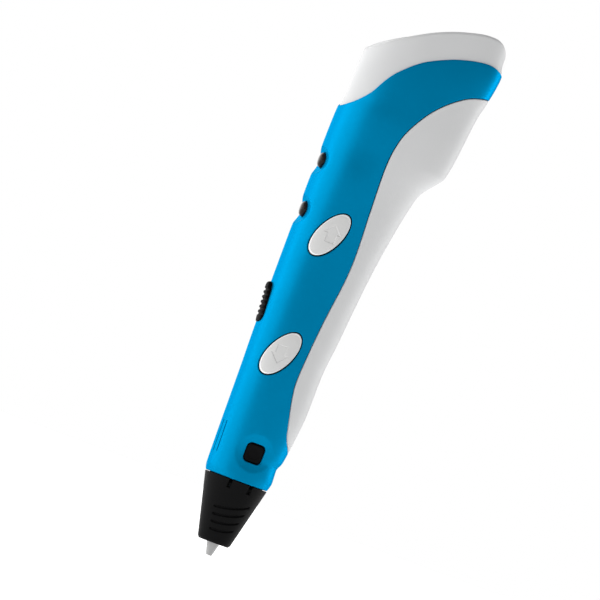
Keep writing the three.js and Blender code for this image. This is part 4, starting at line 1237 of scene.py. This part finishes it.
# ---------- nozzle unit ----------
COVER_LOW, COVER_HIGH, COVER_TOE, COVER_SLOPE = 4.2, 24.95, 5.25, 5.03 / 20.5
COVER_BORE, COVER_INSIDE, COVER_WALL = 2.75, 5.6, 1.3        # radius, lowest height inside, mm
COLLAR_OUTER, COLLAR_INNER, COLLAR_HIGH = 8.8, 8.15, 26.2    # it runs up inside the casing
SLIT_NEAR, SLIT_FAR, SLIT_LONG, SLIT_DEPTH = 2.9, 3.9, 2.85, 1.1
GROOVES, GROOVE_LOW, GROOVE_PITCH, GROOVE_DEPTH, GROOVE_HALF = 4, 8.45, 2.58, 0.6, 0.42


def cover_radius(z):
    return COVER_TOE + COVER_SLOPE * (z - COVER_LOW)


def cover_marks(p):
    """Depth of the grip grooves on both sides and of the slits at the top, from outside. Each
    groove curves up towards its ends, and those further up are longer and steeper."""
    x, y, z = p[..., 0], p[..., 1], p[..., 2]
    radius = np.hypot(x, y)
    turn = np.arctan2(x, np.abs(y))
    outside = np.clip((radius - cover_radius(z) + 0.9) / 0.3, 0, 1)
    deep = np.zeros_like(x)
    for k in range(GROOVES):
        front, back = -0.60 - 0.02 * k, 0.56 + 0.055 * k
        middle = GROOVE_LOW + GROOVE_PITCH * k + (1.15 + 0.3 * k) * turn + 1.25 * turn ** 2
        beyond = np.maximum(front - turn, turn - back).clip(0) * radius
        near = np.hypot(z - middle, beyond) / GROOVE_HALF
        deep = np.maximum(deep, GROOVE_DEPTH * np.clip(1.25 * (1 - near ** 2), 0, 1))
    slit = np.minimum(np.abs(x) - SLIT_NEAR, SLIT_FAR - np.abs(x))
    slit = np.minimum(slit, z - (COVER_HIGH - SLIT_LONG))
    deep = np.maximum(deep, SLIT_DEPTH * np.clip((slit + 0.04) / 0.08, 0, 1))
    return deep * outside


def nozzle_cover():
    """The grip cone: rows close together where the grooves run and where the slits end."""
    heights = [*np.arange(6.6, 22.0, 0.14), 22.04, 22.08, 22.12, 22.16, 22.6, 23.2, 23.8, 24.3]
    corners = [(COVER_BORE, COVER_LOW, 0.1), (4.9, COVER_LOW, 0.45), (cover_radius(4.9), 4.9, 0.5)]
    corners += [(cover_radius(z), z) for z in heights]
    corners += [(cover_radius(COVER_HIGH), COVER_HIGH, 0.2),
                (COLLAR_OUTER, COVER_HIGH, 0.05), (COLLAR_OUTER, COLLAR_HIGH, 0.15),
                (COLLAR_INNER, COLLAR_HIGH, 0.15), (COLLAR_INNER, COVER_HIGH - 0.6, 0.1),
                (cover_radius(COVER_HIGH) - COVER_WALL, COVER_HIGH - 1.1, 0.1),
                (cover_radius(COVER_INSIDE) - COVER_WALL, COVER_INSIDE, 0.1),
                (COVER_BORE, COVER_INSIDE, 0.1)]
    angles = list(np.linspace(0, 2 * math.pi, 200, endpoint=False))
    for edge in (SLIT_NEAR, SLIT_FAR):      # columns close together along the slits' sides
        for offset in (-0.045, 0, 0.045):
            a = math.acos((edge + offset) / cover_radius(23.4))
            angles += [a, math.pi + a]
    angles = np.unique(np.round(angles, 5))
    piece = turned("grip_cone", corners, BLACK, angles=angles, shape=pressed(cover_marks, 0.02))
    settle(piece, "nozzle_unit", "black_plastic", "nozzle_cover")


# Each turned piece of the hot end: CAD node, slot, material, sides, steps round a corner, and
# its outline's corners as (radius, height, rounding).
HOT_END = {
    "extruder_tip": ("nozzle_tip", "ceramic", TIP, 64, 6, [
        (0.35, 0, 0.05), (0.95, 0, 0.12), (2.1, 4.3, 1.2), (2.4, 5.2, 0.8), (2.4, 8.7, 0.1),
        (1.05, 8.7, 0.1), (1.05, 3, 0.2), (0.35, 1.4, 0.2)]),
    "heat_tube": ("melt_tube", "bare_steel", STEEL, 48, 4, [
        (1.1, 9, 0.05), (1.9, 9, 0.1), (1.9, 38, 0.2), (1.1, 38, 0.15)]),
    "heater_core": ("ceramic_heater", "ceramic", CERAMIC, 48, 4, [
        (2.2, 9.3, 0.1), (3.5, 9.3, 0.2), (3.5, 19, 0.2), (2.2, 19, 0.1)]),
    "nozzle_spine": ("nozzle_frame", "black_plastic", BLACK, 64, 4, [
        (2.2, 19.4, 0.1), (7.2, 19.4, 0.2), (7.2, 22.2, 0.3), (4.1, 22.2, 0.4),
        (4.1, 27.0, 0.15), (3.8, 27.3, 0.15), (3.8, 28.3, 0.15), (4.1, 28.6, 0.15),
        (4.1, 38.9, 0.4), (2.2, 38.9, 0.2)]),
}


def hot_end():
    for name, (replaced, slot, material, sides, steps, corners) in HOT_END.items():
        piece = turned(name, corners, material, sides=sides, steps=steps)
        settle(piece, "nozzle_unit", slot, replaced)


CAD_BEVEL, SHARP = 0.08 * MM, math.radians(40)


def soften_cad():
    """Small bevels on the CAD pieces that still show."""
    for piece in frame["nodes"].values():
        if not piece.hide_render:
            bevel = piece.modifiers.new("edges", "BEVEL")
            bevel.width = CAD_BEVEL
            bevel.segments = 2
            bevel.limit_method = "ANGLE"
            bevel.angle_limit = SHARP


blue_halves()
screw_wells()
rear_cover()
end_cap()
buttons()
latches()
slider()
lamps()
power_socket()
filament_mouth()
nozzle_cover()
hot_end()
soften_cad()

# ---------- studio ----------
CAMERA_TURN = math.radians(-11)
CAMERA_RISE = math.radians(-2.5)
LEAN = math.radians(20.3)        # the pen leans this far to the right in the picture
AIM_UP, AIM_RIGHT = 85.5 * MM, -0.85 * MM
LENS_MM, SENSOR_MM, PICTURE_WIDTH = 250, 36, 0.1897
AMBIENT, SIDE_GLOW, FLOOR_GLOW = 0.41, 1.5, 0.7
SIDE_AIM, GLOW_FROM = (-0.5, 0.866, 0.0), 0.45      # brightest this way, fading to this cosine
FLOOR_REACH, FLOOR_DROP = 3.0, 0.1 * MM
PEN_MIDDLE = (0, 0, 0.09)
LIGHTS = [      # name, place, target, size, power in watts
    ("left_box", (-0.95, -0.02, 0.16), PEN_MIDDLE, (1.4, 1.0), 6.2),
    ("right_box", (0.80, 0.30, 0.20), PEN_MIDDLE, (0.4, 1.0), 3.7),
]


def make_camera():
    """A long lens at the side with the buttons, a little to the front and below, rolled so that
    the pen leans."""
    right = Vector((math.cos(CAMERA_TURN), math.sin(CAMERA_TURN), 0))
    level = Vector((math.sin(CAMERA_TURN), -math.cos(CAMERA_TURN), 0))
    upright = Vector((0, 0, 1))
    back = level * math.cos(CAMERA_RISE) + upright * math.sin(CAMERA_RISE)
    up = upright * math.cos(CAMERA_RISE) - level * math.sin(CAMERA_RISE)
    data = bpy.data.cameras.new("camera")
    data.lens = LENS_MM
    data.sensor_width = SENSOR_MM
    camera = bpy.data.objects.new("camera", data)
    bpy.context.scene.collection.objects.link(camera)
    distance = PICTURE_WIDTH * LENS_MM / SENSOR_MM
    picture_up = up * math.cos(LEAN) - right * math.sin(LEAN)
    picture_right = right * math.cos(LEAN) + up * math.sin(LEAN)
    turn = Matrix((picture_right, picture_up, back)).transposed().to_4x4()
    place = right * AIM_RIGHT + upright * AIM_UP + back * distance
    camera.matrix_world = Matrix.Translation(place) @ turn
    data.clip_start, data.clip_end = 0.01, 20
    bpy.context.scene.camera = camera


def area_light(name, place, target, size, power):
    data = bpy.data.lights.new(name, "AREA")
    data.shape = "RECTANGLE"
    data.size, data.size_y = size
    data.energy = power
    light = bpy.data.objects.new(name, data)
    bpy.context.scene.collection.objects.link(light)
    direction = Vector(target) - Vector(place)
    light.location = place
    light.rotation_euler = direction.to_track_quat("-Z", "Y").to_euler()


def make_world():
    """Even white light that is stronger from one side; the camera sees plain white."""
    world = bpy.data.worlds.new("studio")
    bpy.context.scene.world = world
    world.use_nodes = True
    tree = world.node_tree
    lit = tree.nodes["Background"]
    lit.inputs["Color"].default_value = (1, 1, 1, 1)
    way = node(tree, "ShaderNodeTexCoord")
    toward = node(tree, "ShaderNodeVectorMath", operation="DOT_PRODUCT")
    toward.inputs[1].default_value = SIDE_AIM
    glow = node(tree, "ShaderNodeMapRange", interpolation_type="SMOOTHSTEP")
    for socket, value in (("From Min", GLOW_FROM), ("To Min", AMBIENT),
                          ("To Max", AMBIENT + SIDE_GLOW)):
        glow.inputs[socket].default_value = value
    link(way, "Generated", toward, 0)
    link(toward, "Value", glow, "Value")
    link(glow, "Result", lit, "Strength")
    seen = node(tree, "ShaderNodeBackground", Color=(1, 1, 1, 1), Strength=1.0)
    path = node(tree, "ShaderNodeLightPath")
    mix = node(tree, "ShaderNodeMixShader")
    link(path, "Is Camera Ray", mix, 0)
    link(lit, 0, mix, 1)
    link(seen, 0, mix, 2)
    tree.links.new(mix.outputs[0], tree.nodes["World Output"].inputs[0])


def make_floor():
    corners = [(-1, -1), (1, -1), (1, 1), (-1, 1)]
    mesh = bpy.data.meshes.new("floor")
    mesh.from_pydata([(x * FLOOR_REACH, y * FLOOR_REACH, 0) for x, y in corners], [],
                     [(0, 1, 2, 3)])
    floor = bpy.data.objects.new("floor", mesh)
    floor.location.z = -FLOOR_DROP
    bpy.context.scene.collection.objects.link(floor)
    pale = moulded("floor_pale", (0.8, 0.8, 0.8), 0.35, mottle=0.0)
    shader = pale.node_tree.nodes["Principled BSDF"]
    shader.inputs["Emission Color"].default_value = (1, 1, 1, 1)
    shader.inputs["Emission Strength"].default_value = FLOOR_GLOW
    mesh.materials.append(pale)


make_camera()
make_world()
make_floor()
for light_box in LIGHTS:
    area_light(*light_box)
bpy.context.scene.view_settings.view_transform = "Standard"
